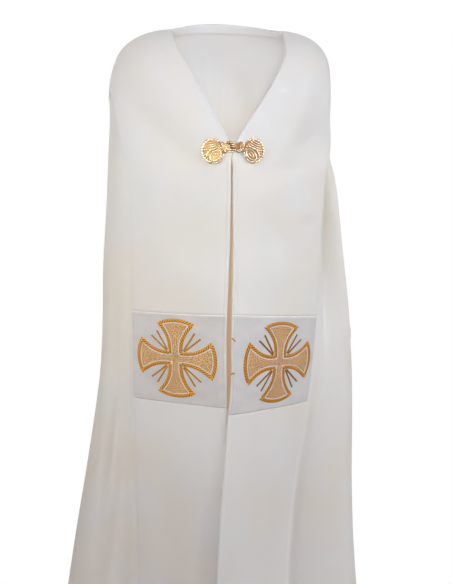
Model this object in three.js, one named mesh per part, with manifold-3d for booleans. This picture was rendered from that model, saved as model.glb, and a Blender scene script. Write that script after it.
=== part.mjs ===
// A cope: the long open-fronted church cloak, hanging as it does when it is worn.
//
// Millimetres, +Z up. The origin lies between the shoulders, level with the cloth beside
// the neck, where the wearer carries the cloak. The open front faces -Y, and "left" is
// the side at -X. The cloak is hollow: a mantle cut in one, a stiffened band down each
// front edge and one round the neck, a satin square on each front band, and a clasp.

import * as THREE from 'three';
import { mergeVertices } from 'three/addons/utils/BufferGeometryUtils.js';
import Module from 'manifold-3d';

// ---------------------------------------------------------------- driving dimensions

const WALL = { mantle: 2.0, band: 3.0, satin: 1.2 };   // thickness of each kind of cloth
const SEAM_GAP = 0.3;                                  // air left between sewn pieces
const LAP = WALL.band + 1.8;          // how far behind a band's face the mantle lies

const SHOULDER_Z = -112;              // where a band's outer edge crosses the shoulder
const NAPE_Z = -166;                  // lower edge of the neck band at the centre back
const HEM_Z = -1400;
const HEM_LIFT = 10;                  // the mantle's hem rides up this much at the sides

const NECK = {
  depth: 62,                          // how far the neckline goes behind the shoulders
  rise: 14,                           // and how much higher it is there
  bulge: 14,                          // swell of the neck band at the centre back
  ease: 0.25,                         // share of the way round that eases it to the seams
};
const OUTLINE_POWER = 2.3;            // 2 would make the mantle's plain outline an ellipse
const SEAM_EASE = 0.14;               // share of the way round that eases it to the seam
const CHEST_Z = -150;                 // cloth above this faces up as well as out

const BAND_COLUMNS = 6;               // quads across a band
const FOLD_STEPS = 4;                 // quads round the mantle from a ridge to a trough
const MANTLE_ROWS = 13;               // quads from the neck band's lower edge to the hem
const ROW_CROWDING = 1.15;            // above 1, those quads are shorter near the top
const COVERED_ROWS = 3;               // quads of mantle beneath the neck band
const COVERED_FROM = 0.045;           // where that starts, as a share of the way round
const NECK_BAND_COLUMNS = 14;         // quads round one half of the neck band

// One row for each level of a front band, from the shoulder seam to the hem. The inner
// edge frames the neck and then the opening, the outer edge carries the mantle, and
// bulge is how far the band swells out between the two. steps divides the stretch below.
const BAND_TABLE = {
  left: [
    { level: 'shoulder', innerX: -88, innerY: 0, innerZ: 0, outerX: -197, outerY: 0,
      outerZ: SHOULDER_Z, bulge: 36, steps: 2 },
    { level: 'collarbone', innerX: -84, innerY: -32, innerZ: -28, outerX: -195, outerY: -22,
      outerZ: -124, bulge: 30, steps: 2 },
    { level: 'breast', innerX: -58, innerY: -70, innerZ: -84, outerX: -191, outerY: -37,
      outerZ: -152, bulge: 20, steps: 2 },
    { level: 'clasp', innerX: -7, innerY: -118, innerZ: -190, outerX: -183, outerY: -52,
      outerZ: -205, bulge: 13, steps: 2 },
    { level: 'below clasp', innerX: -4, innerY: -132, innerZ: -240, outerX: -174,
      outerY: -66, outerZ: -262, bulge: 11, steps: 2 },
    { level: 'chest', innerX: -8, innerY: -135, innerZ: -376, outerX: -169, outerY: -70,
      outerZ: -380, bulge: 9, steps: 2 },
    { level: 'square top', innerX: -10, innerY: -136.5, innerZ: -490, outerX: -169,
      outerY: -72, outerZ: -488, bulge: 8, steps: 4 },
    { level: 'square bottom', innerX: -9, innerY: -138.5, innerZ: -652, outerX: -169,
      outerY: -74, outerZ: -641, bulge: 8, steps: 3 },
    { level: 'thigh', innerX: -9, innerY: -136, innerZ: -862, outerX: -166, outerY: -76,
      outerZ: -862, bulge: 9, steps: 5 },
    { level: 'hem', innerX: -8, innerY: -130, innerZ: HEM_Z, outerX: -168, outerY: -72,
      outerZ: HEM_Z, bulge: 9, steps: 0 },
  ],
  right: [
    { level: 'shoulder', innerX: 117, innerY: 0, innerZ: 0, outerX: 200, outerY: 0,
      outerZ: SHOULDER_Z, bulge: 38, steps: 2 },
    { level: 'collarbone', innerX: 114, innerY: -30, innerZ: -26, outerX: 198, outerY: -20,
      outerZ: -124, bulge: 32, steps: 2 },
    { level: 'breast', innerX: 98, innerY: -60, innerZ: -68, outerX: 196, outerY: -32,
      outerZ: -152, bulge: 22, steps: 2 },
    { level: 'clasp', innerX: 10, innerY: -118, innerZ: -194, outerX: 194, outerY: -44,
      outerZ: -208, bulge: 13, steps: 2 },
    { level: 'below clasp', innerX: 3, innerY: -132, innerZ: -240, outerX: 181,
      outerY: -60, outerZ: -262, bulge: 11, steps: 2 },
    { level: 'chest', innerX: 2.4, innerY: -135, innerZ: -377, outerX: 171, outerY: -69,
      outerZ: -380, bulge: 9, steps: 2 },
    { level: 'square top', innerX: -1, innerY: -137, innerZ: -490, outerX: 165,
      outerY: -70, outerZ: -508, bulge: 8, steps: 4 },
    { level: 'square bottom', innerX: -6, innerY: -143, innerZ: -663, outerX: 151,
      outerY: -66, outerZ: -664, bulge: 10, steps: 3 },
    { level: 'thigh', innerX: -27, innerY: -150, innerZ: -862, outerX: 125, outerY: -53,
      outerZ: -862, bulge: 14, steps: 5 },
    { level: 'hem', innerX: -52, innerY: -156, innerZ: HEM_Z, outerX: 100, outerY: -62,
      outerZ: HEM_Z, bulge: 16, steps: 0 },
  ],
};

// The mantle's plain outline at each height, before its folds are laid on.
const OUTLINE_TABLE = {
  left: [
    { z: SHOULDER_Z, halfWidth: 194, front: 112, back: 118 },
    { z: -200, halfWidth: 198, front: 110, back: 124 },
    { z: -390, halfWidth: 206, front: 110, back: 130 },
    { z: -520, halfWidth: 212, front: 110, back: 136 },
    { z: -620, halfWidth: 220, front: 112, back: 143 },
    { z: -790, halfWidth: 242, front: 116, back: 160 },
    { z: -960, halfWidth: 268, front: 122, back: 180 },
    { z: HEM_Z, halfWidth: 335, front: 135, back: 232 },
  ],
  right: [
    { z: SHOULDER_Z, halfWidth: 198, front: 108, back: 118 },
    { z: -200, halfWidth: 204, front: 106, back: 124 },
    { z: -266, halfWidth: 214, front: 106, back: 126 },
    { z: -390, halfWidth: 226, front: 108, back: 130 },
    { z: -520, halfWidth: 240, front: 110, back: 136 },
    { z: -690, halfWidth: 246, front: 112, back: 149 },
    { z: -960, halfWidth: 252, front: 116, back: 180 },
    { z: HEM_Z, halfWidth: 286, front: 130, back: 232 },
  ],
};

// One row for each ridge (+) or trough (-) of the mantle, from a front seam round to the
// centre back. atTop and atHem are its place as a share of that way, and the other columns
// are its height out of the plain outline at each level of FOLD_LEVELS. Above the first
// level the cloth is smooth, and the last row of both halves is the same fold.
const FOLD_LEVELS = { top: -170, chest: -330, waist: -620, knee: -960, hem: HEM_Z };
const FOLD_TABLE = {
  left: [
    { fold: 'front wedge', atTop: 0.02, atHem: 0.06, chest: 0, waist: 1, knee: 8, hem: 14 },
    { fold: 'seam trough', atTop: 0.05, atHem: 0.14, chest: -9, waist: -13, knee: -22, hem: -28 },
    { fold: 'side roll', atTop: 0.17, atHem: 0.235, chest: 3, waist: 5, knee: 9, hem: 18 },
    { fold: 'side trough', atTop: 0.26, atHem: 0.31, chest: -4, waist: -11, knee: -20, hem: -30 },
    { fold: 'elbow ridge', atTop: 0.33, atHem: 0.375, chest: 4, waist: 10, knee: 20, hem: 33 },
    { fold: 'elbow trough', atTop: 0.415, atHem: 0.455, chest: -6, waist: -17, knee: -30, hem: -44 },
    { fold: 'blade ridge', atTop: 0.51, atHem: 0.545, chest: 6, waist: 18, knee: 33, hem: 49 },
    { fold: 'blade trough', atTop: 0.605, atHem: 0.63, chest: -6, waist: -16, knee: -30, hem: -46 },
    { fold: 'back ridge', atTop: 0.715, atHem: 0.73, chest: 7, waist: 18, knee: 31, hem: 46 },
    { fold: 'back trough', atTop: 0.81, atHem: 0.82, chest: -6, waist: -17, knee: -31, hem: -45 },
    { fold: 'spine ridge', atTop: 0.905, atHem: 0.91, chest: 5, waist: 15, knee: 28, hem: 42 },
    { fold: 'centre back', atTop: 1, atHem: 1, chest: -5, waist: -13, knee: -24, hem: -36 },
  ],
  right: [
    { fold: 'front wedge', atTop: 0.02, atHem: 0.045, chest: 0, waist: 0, knee: 3, hem: 9 },
    { fold: 'seam trough', atTop: 0.07, atHem: 0.11, chest: -34, waist: -14, knee: -13, hem: -22 },
    { fold: 'side roll', atTop: 0.18, atHem: 0.19, chest: 4, waist: 4, knee: 8, hem: 16 },
    { fold: 'side trough', atTop: 0.265, atHem: 0.265, chest: -4, waist: -9, knee: -18, hem: -28 },
    { fold: 'elbow ridge', atTop: 0.335, atHem: 0.335, chest: 5, waist: 12, knee: 22, hem: 35 },
    { fold: 'elbow trough', atTop: 0.425, atHem: 0.42, chest: -5, waist: -15, knee: -29, hem: -43 },
    { fold: 'blade ridge', atTop: 0.505, atHem: 0.505, chest: 6, waist: 17, knee: 30, hem: 44 },
    { fold: 'blade trough', atTop: 0.61, atHem: 0.615, chest: -7, waist: -18, knee: -32, hem: -47 },
    { fold: 'back ridge', atTop: 0.7, atHem: 0.71, chest: 6, waist: 18, knee: 33, hem: 50 },
    { fold: 'back trough', atTop: 0.8, atHem: 0.81, chest: -5, waist: -15, knee: -29, hem: -44 },
    { fold: 'spine ridge', atTop: 0.9, atHem: 0.905, chest: 6, waist: 17, knee: 30, hem: 44 },
    { fold: 'centre back', atTop: 1, atHem: 1, chest: -5, waist: -13, knee: -24, hem: -36 },
  ],
};
const SEAM = { fold: 'seam', atTop: 0, atHem: 0, chest: 0, waist: 0, knee: 0, hem: 0 };

// The clasp is two castings. Each has a scalloped leaf sewn to its band and a trefoil at
// the leaf's inner end. The left one ends in an eye, and the right one in the hook for it.
const CLASP = {
  z: -203,                            // height of the eye and the hook
  lift: 0.8,                          // stands this far off the bands
  leaf: { share: 0.165, drop: 7, wide: 38, tall: 46, thick: 1.8, lobes: 9, scallop: 0.11 },
  trefoil: { x: 14, wide: 17, tall: 22, thick: 2.6, lobes: 3, scallop: 0.3 },
  piercing: { count: 5, radius: 1.5, ring: 0.5 },
  eye: { left: -10, right: 3, tall: 17, bar: 2.2, thick: 2.4 },
  hook: { reach: 12, tall: 8, clear: 2.1, thick: 1.4, tongue: 3.2 },
  bevel: 0.4,
};

// ---------------------------------------------------------------- materials

const cloth = (color, roughness) => new THREE.MeshStandardMaterial({ color, roughness, metalness: 0 });
const MATERIAL = {
  mantle: cloth(0xe9e5de, 0.85),
  band: cloth(0xece8e2, 0.8),
  satin: cloth(0xeeedf2, 0.45),
  gilt: new THREE.MeshStandardMaterial({ color: 0xd9a441, roughness: 0.3, metalness: 1 }),
};

// ---------------------------------------------------------------- curves and tables

const smooth = (t) => {
  const c = THREE.MathUtils.clamp(t, 0, 1);
  return c * c * (3 - 2 * c);
};

// A smooth curve through one column of a table, read at any value of its key column. The
// key falls from row to row, and beyond either end the end row holds.
function readTable(rows, key, column, at) {
  const last = rows.length - 1;
  if (at >= rows[0][key]) return rows[0][column];
  if (at <= rows[last][key]) return rows[last][column];
  let i = 0;
  while (at < rows[i + 1][key]) i += 1;
  const slope = (a, b) => (rows[b][column] - rows[a][column]) / (rows[b][key] - rows[a][key]);
  const tangent = (k) => {
    if (k === 0) return slope(0, 1);
    if (k === last) return slope(last - 1, last);
    return (slope(k - 1, k) + slope(k, k + 1)) / 2;
  };
  const span = rows[i + 1][key] - rows[i][key];
  const t = (at - rows[i][key]) / span;
  const hold = 1 - smooth(t);
  return rows[i][column] * hold + rows[i + 1][column] * (1 - hold)
    + tangent(i) * span * t * (1 - t) * (1 - t) - tangent(i + 1) * span * t * t * (1 - t);
}

// The way from the middle of the figure to a point. It is level, save over the shoulders.
function fromMiddle(point) {
  return point.clone().setZ(point.z - Math.min(point.z, CHEST_Z));
}

// ---------------------------------------------------------------- the bands

// Which way a band faces between its two edges: square to the line joining them, and
// away from the middle of the figure.
function facing(inner, outer) {
  const across = outer.clone().sub(inner).normalize();
  const out = fromMiddle(inner.clone().lerp(outer, 0.5));
  return out.addScaledVector(across, -out.dot(across)).normalize();
}

// A point across a band, from its inner edge (0) to its outer edge (1).
function acrossBand(inner, outer, bulge, share) {
  return inner.clone().lerp(outer, share)
    .addScaledVector(facing(inner, outer), 4 * bulge * share * (1 - share));
}

function frontBandEdges(side, outerZ) {
  const read = (column) => readTable(BAND_TABLE[side], 'outerZ', column, outerZ);
  return {
    inner: new THREE.Vector3(read('innerX'), read('innerY'), read('innerZ')),
    outer: new THREE.Vector3(read('outerX'), read('outerY'), outerZ),
    bulge: read('bulge'),
  };
}

function frontBandPoint(side, share, outerZ) {
  const { inner, outer, bulge } = frontBandEdges(side, outerZ);
  return acrossBand(inner, outer, bulge, share);
}

// The levels of a front band's rows of points, and which of them bound the satin square.
function bandLevels(side) {
  const rows = BAND_TABLE[side];
  const levels = [];
  const square = {};
  rows.forEach((row, i) => {
    if (row.level === 'square top') square.from = levels.length;
    if (row.level === 'square bottom') square.to = levels.length;
    for (let k = 0; k < row.steps; k += 1) {
      levels.push(THREE.MathUtils.lerp(row.outerZ, rows[i + 1].outerZ, k / row.steps));
    }
  });
  levels.push(rows[rows.length - 1].outerZ);
  return { levels, square };
}

// ---------------------------------------------------------------- the mantle

const SIGN = { left: -1, right: 1 };

// The front seam, just behind the outer edge of the band.
function seamPoint(side, z) {
  const { inner, outer } = frontBandEdges(side, Math.min(z, SHOULDER_Z));
  return outer.addScaledVector(facing(inner, outer), -LAP);
}

// A point of the plain outline: share runs from the front seam (0) to the centre back (1),
// and height moves the point straight out from the middle of the figure.
function outlinePoint(side, share, z, height = 0) {
  const read = (column) => readTable(OUTLINE_TABLE[side], 'z', column, z);
  const seam = seamPoint(side, z);
  const start = Math.atan2(Math.abs(seam.x), -seam.y);
  const outline = (turn) => {
    const aside = Math.abs(Math.sin(turn)) / read('halfWidth');
    const along = Math.abs(Math.cos(turn)) / read(turn < Math.PI / 2 ? 'front' : 'back');
    const radius = (aside ** OUTLINE_POWER + along ** OUTLINE_POWER) ** (-1 / OUTLINE_POWER);
    return new THREE.Vector3(SIGN[side] * radius * Math.sin(turn), -radius * Math.cos(turn), z);
  };
  const turn = THREE.MathUtils.lerp(start, Math.PI, share);
  const outward = new THREE.Vector3(SIGN[side] * Math.sin(turn), -Math.cos(turn), 0);
  const toSeam = seam.sub(outline(start)).setZ(0).multiplyScalar(1 - smooth(share / SEAM_EASE));
  return outline(turn).add(toSeam).addScaledVector(outward, height);
}

// Where a column of the mantle's points runs at a height: FOLD_STEPS of them take a fold
// from one row of the table to the next.
function foldColumn(side, column, z) {
  const rows = [SEAM, ...FOLD_TABLE[side]];
  const k = Math.min(Math.floor(column / FOLD_STEPS), rows.length - 2);
  const t = column / FOLD_STEPS - k;
  const drop = THREE.MathUtils.clamp((SHOULDER_Z - z) / (SHOULDER_Z - HEM_Z), 0, 1);
  const shareOf = (row) => THREE.MathUtils.lerp(row.atTop, row.atHem, drop);
  const heightOf = (row) => readTable(
    Object.entries(FOLD_LEVELS).map(([name, level]) => ({ level, height: row[name] ?? 0 })),
    'level', 'height', z,
  );
  return {
    share: THREE.MathUtils.lerp(shareOf(rows[k]), shareOf(rows[k + 1]), t),
    height: THREE.MathUtils.lerp(heightOf(rows[k]), heightOf(rows[k + 1]), smooth(t)),
  };
}

const mantleTopZ = (share) => SHOULDER_Z + (NAPE_Z - SHOULDER_Z) * Math.sin(share * Math.PI / 2);
const hemZ = (share) => HEM_Z + HEM_LIFT * Math.sin(share * Math.PI) ** 2;

// ---------------------------------------------------------------- cloth as a solid wall

// The normal at every point of a sheet's rows, all on the side that faces away from the
// middle of the figure, and whether that turned them over. Along the edges named in
// squared, such as { firstRow: 'y' }, the wall ends square to that axis, as at a seam.
function outwardNormals(rows, squared = {}) {
  const [last, end] = [rows.length - 1, rows[0].length - 1];
  const normals = rows.map((row, j) => row.map((point, i) => {
    const down = rows[Math.min(j + 1, last)][i].clone().sub(rows[Math.max(j - 1, 0)][i]);
    const round = row[Math.min(i + 1, end)].clone().sub(row[Math.max(i - 1, 0)]);
    return round.cross(down).normalize();
  }));
  const [j, i] = [last >> 1, end >> 1];
  const turned = normals[j][i].dot(fromMiddle(rows[j][i])) < 0;
  if (turned) normals.flat().forEach((normal) => normal.negate());
  const edges = { firstRow: normals[0], lastRow: normals[last] };
  for (const [edge, axis] of Object.entries(squared)) {
    for (const normal of edges[edge]) {
      normal[axis] = 0;
      normal.normalize();
    }
  }
  return { normals, turned };
}

// Rows of points on a sheet's outer face become a closed wall of the given thickness. The
// outer face is first moved out by lift.
function wallGeometry(rows, thickness, { lift = 0, squared = {} } = {}) {
  const { normals, turned } = outwardNormals(rows, squared);
  const [tall, wide] = [rows.length, rows[0].length];
  const positions = [];
  for (const depth of [lift, lift - thickness]) {
    rows.forEach((row, j) => row.forEach((point, i) => {
      const moved = point.clone().addScaledVector(normals[j][i], depth);
      positions.push(moved.x, moved.y, moved.z);
    }));
  }
  const outer = (j, i) => j * wide + i;
  const inner = (j, i) => tall * wide + j * wide + i;
  const index = [];
  const quad = (a, b, c, d) => (turned ? index.push(a, c, b, a, d, c) : index.push(a, b, c, a, c, d));
  for (let j = 0; j < tall - 1; j += 1) {
    for (let i = 0; i < wide - 1; i += 1) {
      quad(outer(j, i), outer(j, i + 1), outer(j + 1, i + 1), outer(j + 1, i));
      quad(inner(j, i), inner(j + 1, i), inner(j + 1, i + 1), inner(j, i + 1));
    }
  }
  for (let i = 0; i < wide - 1; i += 1) {
    quad(inner(0, i), inner(0, i + 1), outer(0, i + 1), outer(0, i));
    quad(outer(tall - 1, i), outer(tall - 1, i + 1), inner(tall - 1, i + 1), inner(tall - 1, i));
  }
  for (let j = 0; j < tall - 1; j += 1) {
    quad(outer(j, 0), outer(j + 1, 0), inner(j + 1, 0), inner(j, 0));
    quad(inner(j, wide - 1), inner(j + 1, wide - 1), outer(j + 1, wide - 1), outer(j, wide - 1));
  }
  const geometry = new THREE.BufferGeometry();
  geometry.setAttribute('position', new THREE.Float32BufferAttribute(positions, 3));
  geometry.setIndex(index);
  return geometry;
}

// ---------------------------------------------------------------- assembling the cloak

const cope = new THREE.Group();

function addPiece(parent, name, geometry, material) {
  const mesh = new THREE.Mesh(geometry, material);
  mesh.name = name;
  parent.add(mesh);
  return mesh;
}

// Calls make(side, step) for each step from the left shoulder round the back to the right.
function roundTheBack(steps, make) {
  const columns = [];
  for (let k = 0; k <= steps; k += 1) columns.push(make('left', k));
  for (let k = steps - 1; k >= 0; k -= 1) columns.push(make('right', k));
  return columns;
}

// The mantle goes up beneath the neck band to the neckline, and hangs from there.
function mantleRows() {
  const steps = FOLD_TABLE.left.length * FOLD_STEPS;
  const covered = roundTheBack(steps, (side, column) => {
    const { share } = foldColumn(side, column, SHOULDER_Z);
    return neckBandColumn(side, THREE.MathUtils.lerp(COVERED_FROM, 1, share), COVERED_ROWS);
  });
  const { normals } = outwardNormals(covered);
  const columns = covered.map((points, i) => (
    points.slice(0, -1).map((point, j) => point.addScaledVector(normals[i][j], -LAP))));
  const hanging = roundTheBack(steps, (side, column) => {
    const topZ = mantleTopZ(foldColumn(side, column, SHOULDER_Z).share);
    return Array.from({ length: MANTLE_ROWS + 1 }, (_, j) => {
      const bottomZ = hemZ(column / steps);
      const z = THREE.MathUtils.lerp(topZ, bottomZ, (j / MANTLE_ROWS) ** ROW_CROWDING);
      const { share, height } = foldColumn(side, column, z);
      return outlinePoint(side, share, z, height);
    });
  });
  return columns.map((column, i) => [...column, ...hanging[i]]);
}

function frontBandRows(side) {
  return bandLevels(side).levels.map((outerZ) => {
    const row = [];
    for (let i = 0; i <= BAND_COLUMNS; i += 1) {
      row.push(frontBandPoint(side, i / BAND_COLUMNS, outerZ));
    }
    return row;
  });
}

// The neck band runs from one shoulder seam round the nape to the other. Its lower edge
// lies over the mantle's top edge, and its ends meet the front bands.
function neckBandColumn(side, share, quads = BAND_COLUMNS) {
  const turn = share * Math.PI / 2;
  const shoulder = frontBandEdges(side, SHOULDER_Z);
  const inner = new THREE.Vector3(
    shoulder.inner.x * Math.cos(turn),
    NECK.depth * Math.sin(turn),
    NECK.rise * Math.sin(turn) ** 2,
  );
  const mantleTop = (at) => outlinePoint(side, at, mantleTopZ(at));
  const outward = (at) => {
    const round = mantleTop(at + 0.01).sub(mantleTop(at - 0.01)).setZ(0).normalize();
    const out = new THREE.Vector3(round.y, -round.x, 0).multiplyScalar(SIGN[side]);
    return mantleTop(at).addScaledVector(out, LAP);
  };
  const toSeam = shoulder.outer.clone().sub(outward(0));
  const outer = outward(share).addScaledVector(toSeam, 1 - smooth(share / NECK.ease));
  const bulge = THREE.MathUtils.lerp(shoulder.bulge, NECK.bulge, smooth(share));
  const column = [];
  for (let i = 0; i <= quads; i += 1) {
    const point = acrossBand(inner, outer, bulge, i / quads);
    if (share === 0) point.y += SEAM_GAP;
    column.push(point);
  }
  return column;
}

function neckBandRows() {
  return roundTheBack(NECK_BAND_COLUMNS, (side, k) => neckBandColumn(side, k / NECK_BAND_COLUMNS));
}

// ---------------------------------------------------------------- the clasp

const wasm = await Module();
wasm.setup();

function toSolid(geometry, frame) {
  const bare = geometry.clone().applyMatrix4(frame);
  bare.deleteAttribute('normal');
  bare.deleteAttribute('uv');
  const merged = mergeVertices(bare, 1e-4);
  return new wasm.Manifold(new wasm.Mesh({
    numProp: 3,
    vertProperties: new Float32Array(merged.attributes.position.array),
    triVerts: new Uint32Array(merged.index.array),
  }));
}

function joinedGeometry(solids) {
  const mesh = solids.reduce((whole, solid) => whole.add(solid)).getMesh();
  const geometry = new THREE.BufferGeometry();
  geometry.setAttribute('position', new THREE.BufferAttribute(mesh.vertProperties, 3));
  geometry.setIndex(new THREE.BufferAttribute(mesh.triVerts, 1));
  return geometry;
}

// The level whose row of points passes a given height at this share of the band.
function levelThrough(side, share, z) {
  let level = z;
  for (let i = 0; i < 8; i += 1) level += z - frontBandPoint(side, share, level).z;
  return level;
}

// A frame on a band, standing CLASP.lift off it: X to the right, Y up the cloth, Z out.
function frameOnBand(side, share, z) {
  const level = levelThrough(side, share, z);
  const at = frontBandPoint(side, share, level);
  const up = frontBandPoint(side, share, level + 5).sub(frontBandPoint(side, share, level - 5));
  const right = frontBandPoint(side, share + 0.02, level)
    .sub(frontBandPoint(side, share - 0.02, level)).multiplyScalar(SIGN[side]);
  return frameFrom(at, right, up);
}

function frameFrom(at, right, up) {
  const out = right.clone().cross(up).normalize();
  const x = up.clone().cross(out).normalize();
  const y = out.clone().cross(x);
  return new THREE.Matrix4().makeBasis(x, y, out)
    .setPosition(at.clone().addScaledVector(out, CLASP.lift));
}

function scallopedShape({ wide, tall, lobes, scallop }) {
  const points = [];
  const steps = lobes * 6;
  for (let i = 0; i < steps; i += 1) {
    const turn = i / steps * 2 * Math.PI;
    const reach = 1 - scallop + scallop * Math.abs(Math.cos(turn * lobes / 2));
    points.push(new THREE.Vector2(wide / 2 * reach * Math.cos(turn), tall / 2 * reach * Math.sin(turn)));
  }
  return new THREE.Shape(points);
}

function castPlate(shape, thick) {
  return new THREE.ExtrudeGeometry(shape, {
    depth: thick - CLASP.bevel, steps: 1, curveSegments: 6,
    bevelEnabled: true, bevelThickness: CLASP.bevel, bevelSize: CLASP.bevel,
    bevelOffset: -CLASP.bevel, bevelSegments: 1,
  }).translate(0, 0, CLASP.bevel);
}

function piercedLeafShape() {
  const { wide, tall } = CLASP.leaf;
  const { count, radius, ring } = CLASP.piercing;
  const shape = scallopedShape(CLASP.leaf);
  for (let i = 0; i < count; i += 1) {
    const turn = (i + 0.5) / count * 2 * Math.PI;
    shape.holes.push(new THREE.Path().absarc(
      wide / 2 * ring * Math.cos(turn), tall / 2 * ring * Math.sin(turn), radius, 0, 2 * Math.PI, true));
  }
  return shape;
}

function eyeShape() {
  const { left, right, tall, bar } = CLASP.eye;
  const box = (inset) => [
    [left + inset, -tall / 2 + inset], [right - inset, -tall / 2 + inset],
    [right - inset, tall / 2 - inset], [left + inset, tall / 2 - inset],
  ].map(([x, y]) => new THREE.Vector2(x, y));
  const shape = new THREE.Shape(box(0));
  shape.holes.push(new THREE.Path(box(bar).reverse()));
  return shape;
}

function arcPoints(x, radius, from, to, steps) {
  return Array.from({ length: steps + 1 }, (_, i) => {
    const turn = THREE.MathUtils.lerp(from, to, i / steps);
    return new THREE.Vector2(x + radius * Math.cos(turn), radius * Math.sin(turn));
  });
}

// The hook seen from above: a strip that rises from the trefoil, passes over the eye's
// bar and turns back under it.
function hookGeometry() {
  const { reach, tall, clear, thick, tongue } = CLASP.hook;
  const barX = CLASP.eye.right - CLASP.eye.bar / 2;
  const outer = clear + thick;
  const foot = [[barX + tongue, -outer], [barX + tongue, -clear]];
  const root = [[reach - thick, clear], [reach - thick, 0], [reach, 0], [reach, outer]];
  const toPoints = (pairs) => pairs.map(([x, y]) => new THREE.Vector2(x, y));
  const shape = new THREE.Shape([
    ...arcPoints(barX, outer, Math.PI / 2, Math.PI * 1.5, 12),
    ...toPoints(foot),
    ...arcPoints(barX, clear, Math.PI * 1.5, Math.PI / 2, 12),
    ...toPoints(root),
  ]);
  return new THREE.ExtrudeGeometry(shape, { depth: tall, bevelEnabled: false })
    .translate(0, 0, -tall / 2).rotateX(-Math.PI / 2).scale(1, -1, -1)
    .translate(0, 0, CLASP.eye.thick / 2);
}

// The frame midway between the bands, where the eye and the hook meet.
function centreFrame() {
  const frames = ['left', 'right'].map((side) => frameOnBand(side, 0.02, CLASP.z));
  const sum = (read) => read(frames[0]).add(read(frames[1]));
  const middle = sum((frame) => new THREE.Vector3().setFromMatrixPosition(frame));
  const up = sum((frame) => new THREE.Vector3().setFromMatrixColumn(frame, 1));
  return frameFrom(middle.multiplyScalar(0.5).setX(0), new THREE.Vector3(1, 0, 0), up.setX(0));
}

function trefoilFrame(side) {
  const frame = frameOnBand(side, 0.02, CLASP.z);
  const at = new THREE.Vector3().setFromMatrixPosition(frame).x;
  return frame.multiply(new THREE.Matrix4().makeTranslation(SIGN[side] * CLASP.trefoil.x - at, 0, 0));
}

function claspHalf(side, end) {
  const { leaf, trefoil } = CLASP;
  const leafFrame = frameOnBand(side, leaf.share, CLASP.z - leaf.drop);
  return joinedGeometry([
    toSolid(castPlate(piercedLeafShape(), leaf.thick), leafFrame),
    toSolid(castPlate(scallopedShape(trefoil), trefoil.thick), trefoilFrame(side)),
    toSolid(end, centreFrame()),
  ]);
}

// ---------------------------------------------------------------- the pieces

addPiece(cope, 'mantle', wallGeometry(mantleRows(), WALL.mantle), MATERIAL.mantle);
for (const side of ['left', 'right']) {
  const band = frontBandRows(side);
  const { square } = bandLevels(side);
  const squareRows = band.slice(square.from, square.to + 1);
  addPiece(cope, `orphrey_${side}`,
    wallGeometry(band, WALL.band, { squared: { firstRow: 'y' } }), MATERIAL.band);
  addPiece(cope, `satin_square_${side}`,
    wallGeometry(squareRows, WALL.satin, { lift: SEAM_GAP + WALL.satin }), MATERIAL.satin);
}
addPiece(cope, 'orphrey_neck', wallGeometry(
  neckBandRows(), WALL.band, { squared: { firstRow: 'y', lastRow: 'y' } },
), MATERIAL.band);
addPiece(cope, 'clasp_eye_half', claspHalf('left', castPlate(eyeShape(), CLASP.eye.thick)), MATERIAL.gilt);
addPiece(cope, 'clasp_hook_half', claspHalf('right', hookGeometry()), MATERIAL.gilt);

export default cope;
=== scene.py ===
# %% [markdown]
# # A cope, the long church cloak, made sheet by sheet
# A cope is a cloak that hangs open down the front. A mantle of ivory cloth falls in folds
# from the shoulders, a stiffened band edges each front and goes round the neck, a white
# satin square with an embroidered cross lies on each front band, and a gilt clasp holds
# the fronts together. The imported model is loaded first: it fixes every size and place, and
# each cloth piece below is a finer, softer copy of one of its solids.

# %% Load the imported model
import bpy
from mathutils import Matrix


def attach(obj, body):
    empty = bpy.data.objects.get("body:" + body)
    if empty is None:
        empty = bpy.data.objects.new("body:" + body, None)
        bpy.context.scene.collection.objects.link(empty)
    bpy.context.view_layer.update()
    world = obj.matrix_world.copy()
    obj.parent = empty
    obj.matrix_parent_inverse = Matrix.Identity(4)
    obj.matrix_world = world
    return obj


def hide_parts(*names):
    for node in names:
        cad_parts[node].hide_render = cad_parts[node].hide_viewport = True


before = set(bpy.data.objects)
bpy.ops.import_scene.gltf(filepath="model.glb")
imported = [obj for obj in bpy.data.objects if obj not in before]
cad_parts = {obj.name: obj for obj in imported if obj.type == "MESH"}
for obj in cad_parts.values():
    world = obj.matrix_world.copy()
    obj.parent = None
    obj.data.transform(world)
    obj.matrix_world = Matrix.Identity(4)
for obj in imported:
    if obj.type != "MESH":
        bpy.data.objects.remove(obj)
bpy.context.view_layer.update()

# %% [markdown]
# ## Camera
# The camera stands a little to the left of the front, two metres off and at the height of
# the chest, and looks slightly down. A long lens keeps the bands nearly parallel.

# %% Camera
import math
import bpy
import numpy as np
from mathutils import Matrix, Vector

AZIMUTH, PITCH = math.radians(-10.5), math.radians(8.5)
BACK = Vector((math.sin(AZIMUTH), -math.cos(AZIMUTH), 0))
ASIDE = Vector((math.cos(AZIMUTH), math.sin(AZIMUTH), 0))
DISTANCE, SIDESTEP, EYE_LEVEL = 2.0, 0.011, -0.17      # metres; the neck is at level 0
bpy.ops.object.camera_add(
    location=BACK * DISTANCE + ASIDE * SIDESTEP + Vector((0, 0, EYE_LEVEL)),
    rotation=(math.pi / 2 - PITCH, 0, AZIMUTH))
bpy.context.scene.camera = bpy.context.object
bpy.context.scene.camera.data.lens = 68
print("camera at", tuple(round(v, 3) for v in bpy.context.scene.camera.location))

# %% [markdown]
# ## Light and floor
# Pale cloth shows its folds only if the light on it is soft and uneven. A cool lamp stands
# on each side, one high up and one near in front, so that the light falls off towards the
# hem, and two narrower pools of light brighten the left shoulder and the chest. Another lamp
# lights the back. Small lamps light the hollow inside: one for the neckline, three warm ones
# for the slit between the bands. The room glows warmly on the cloth, so that the shadows are
# warmer than the lit parts, but it looks white, and satin and gilding mirror some of that.

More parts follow.
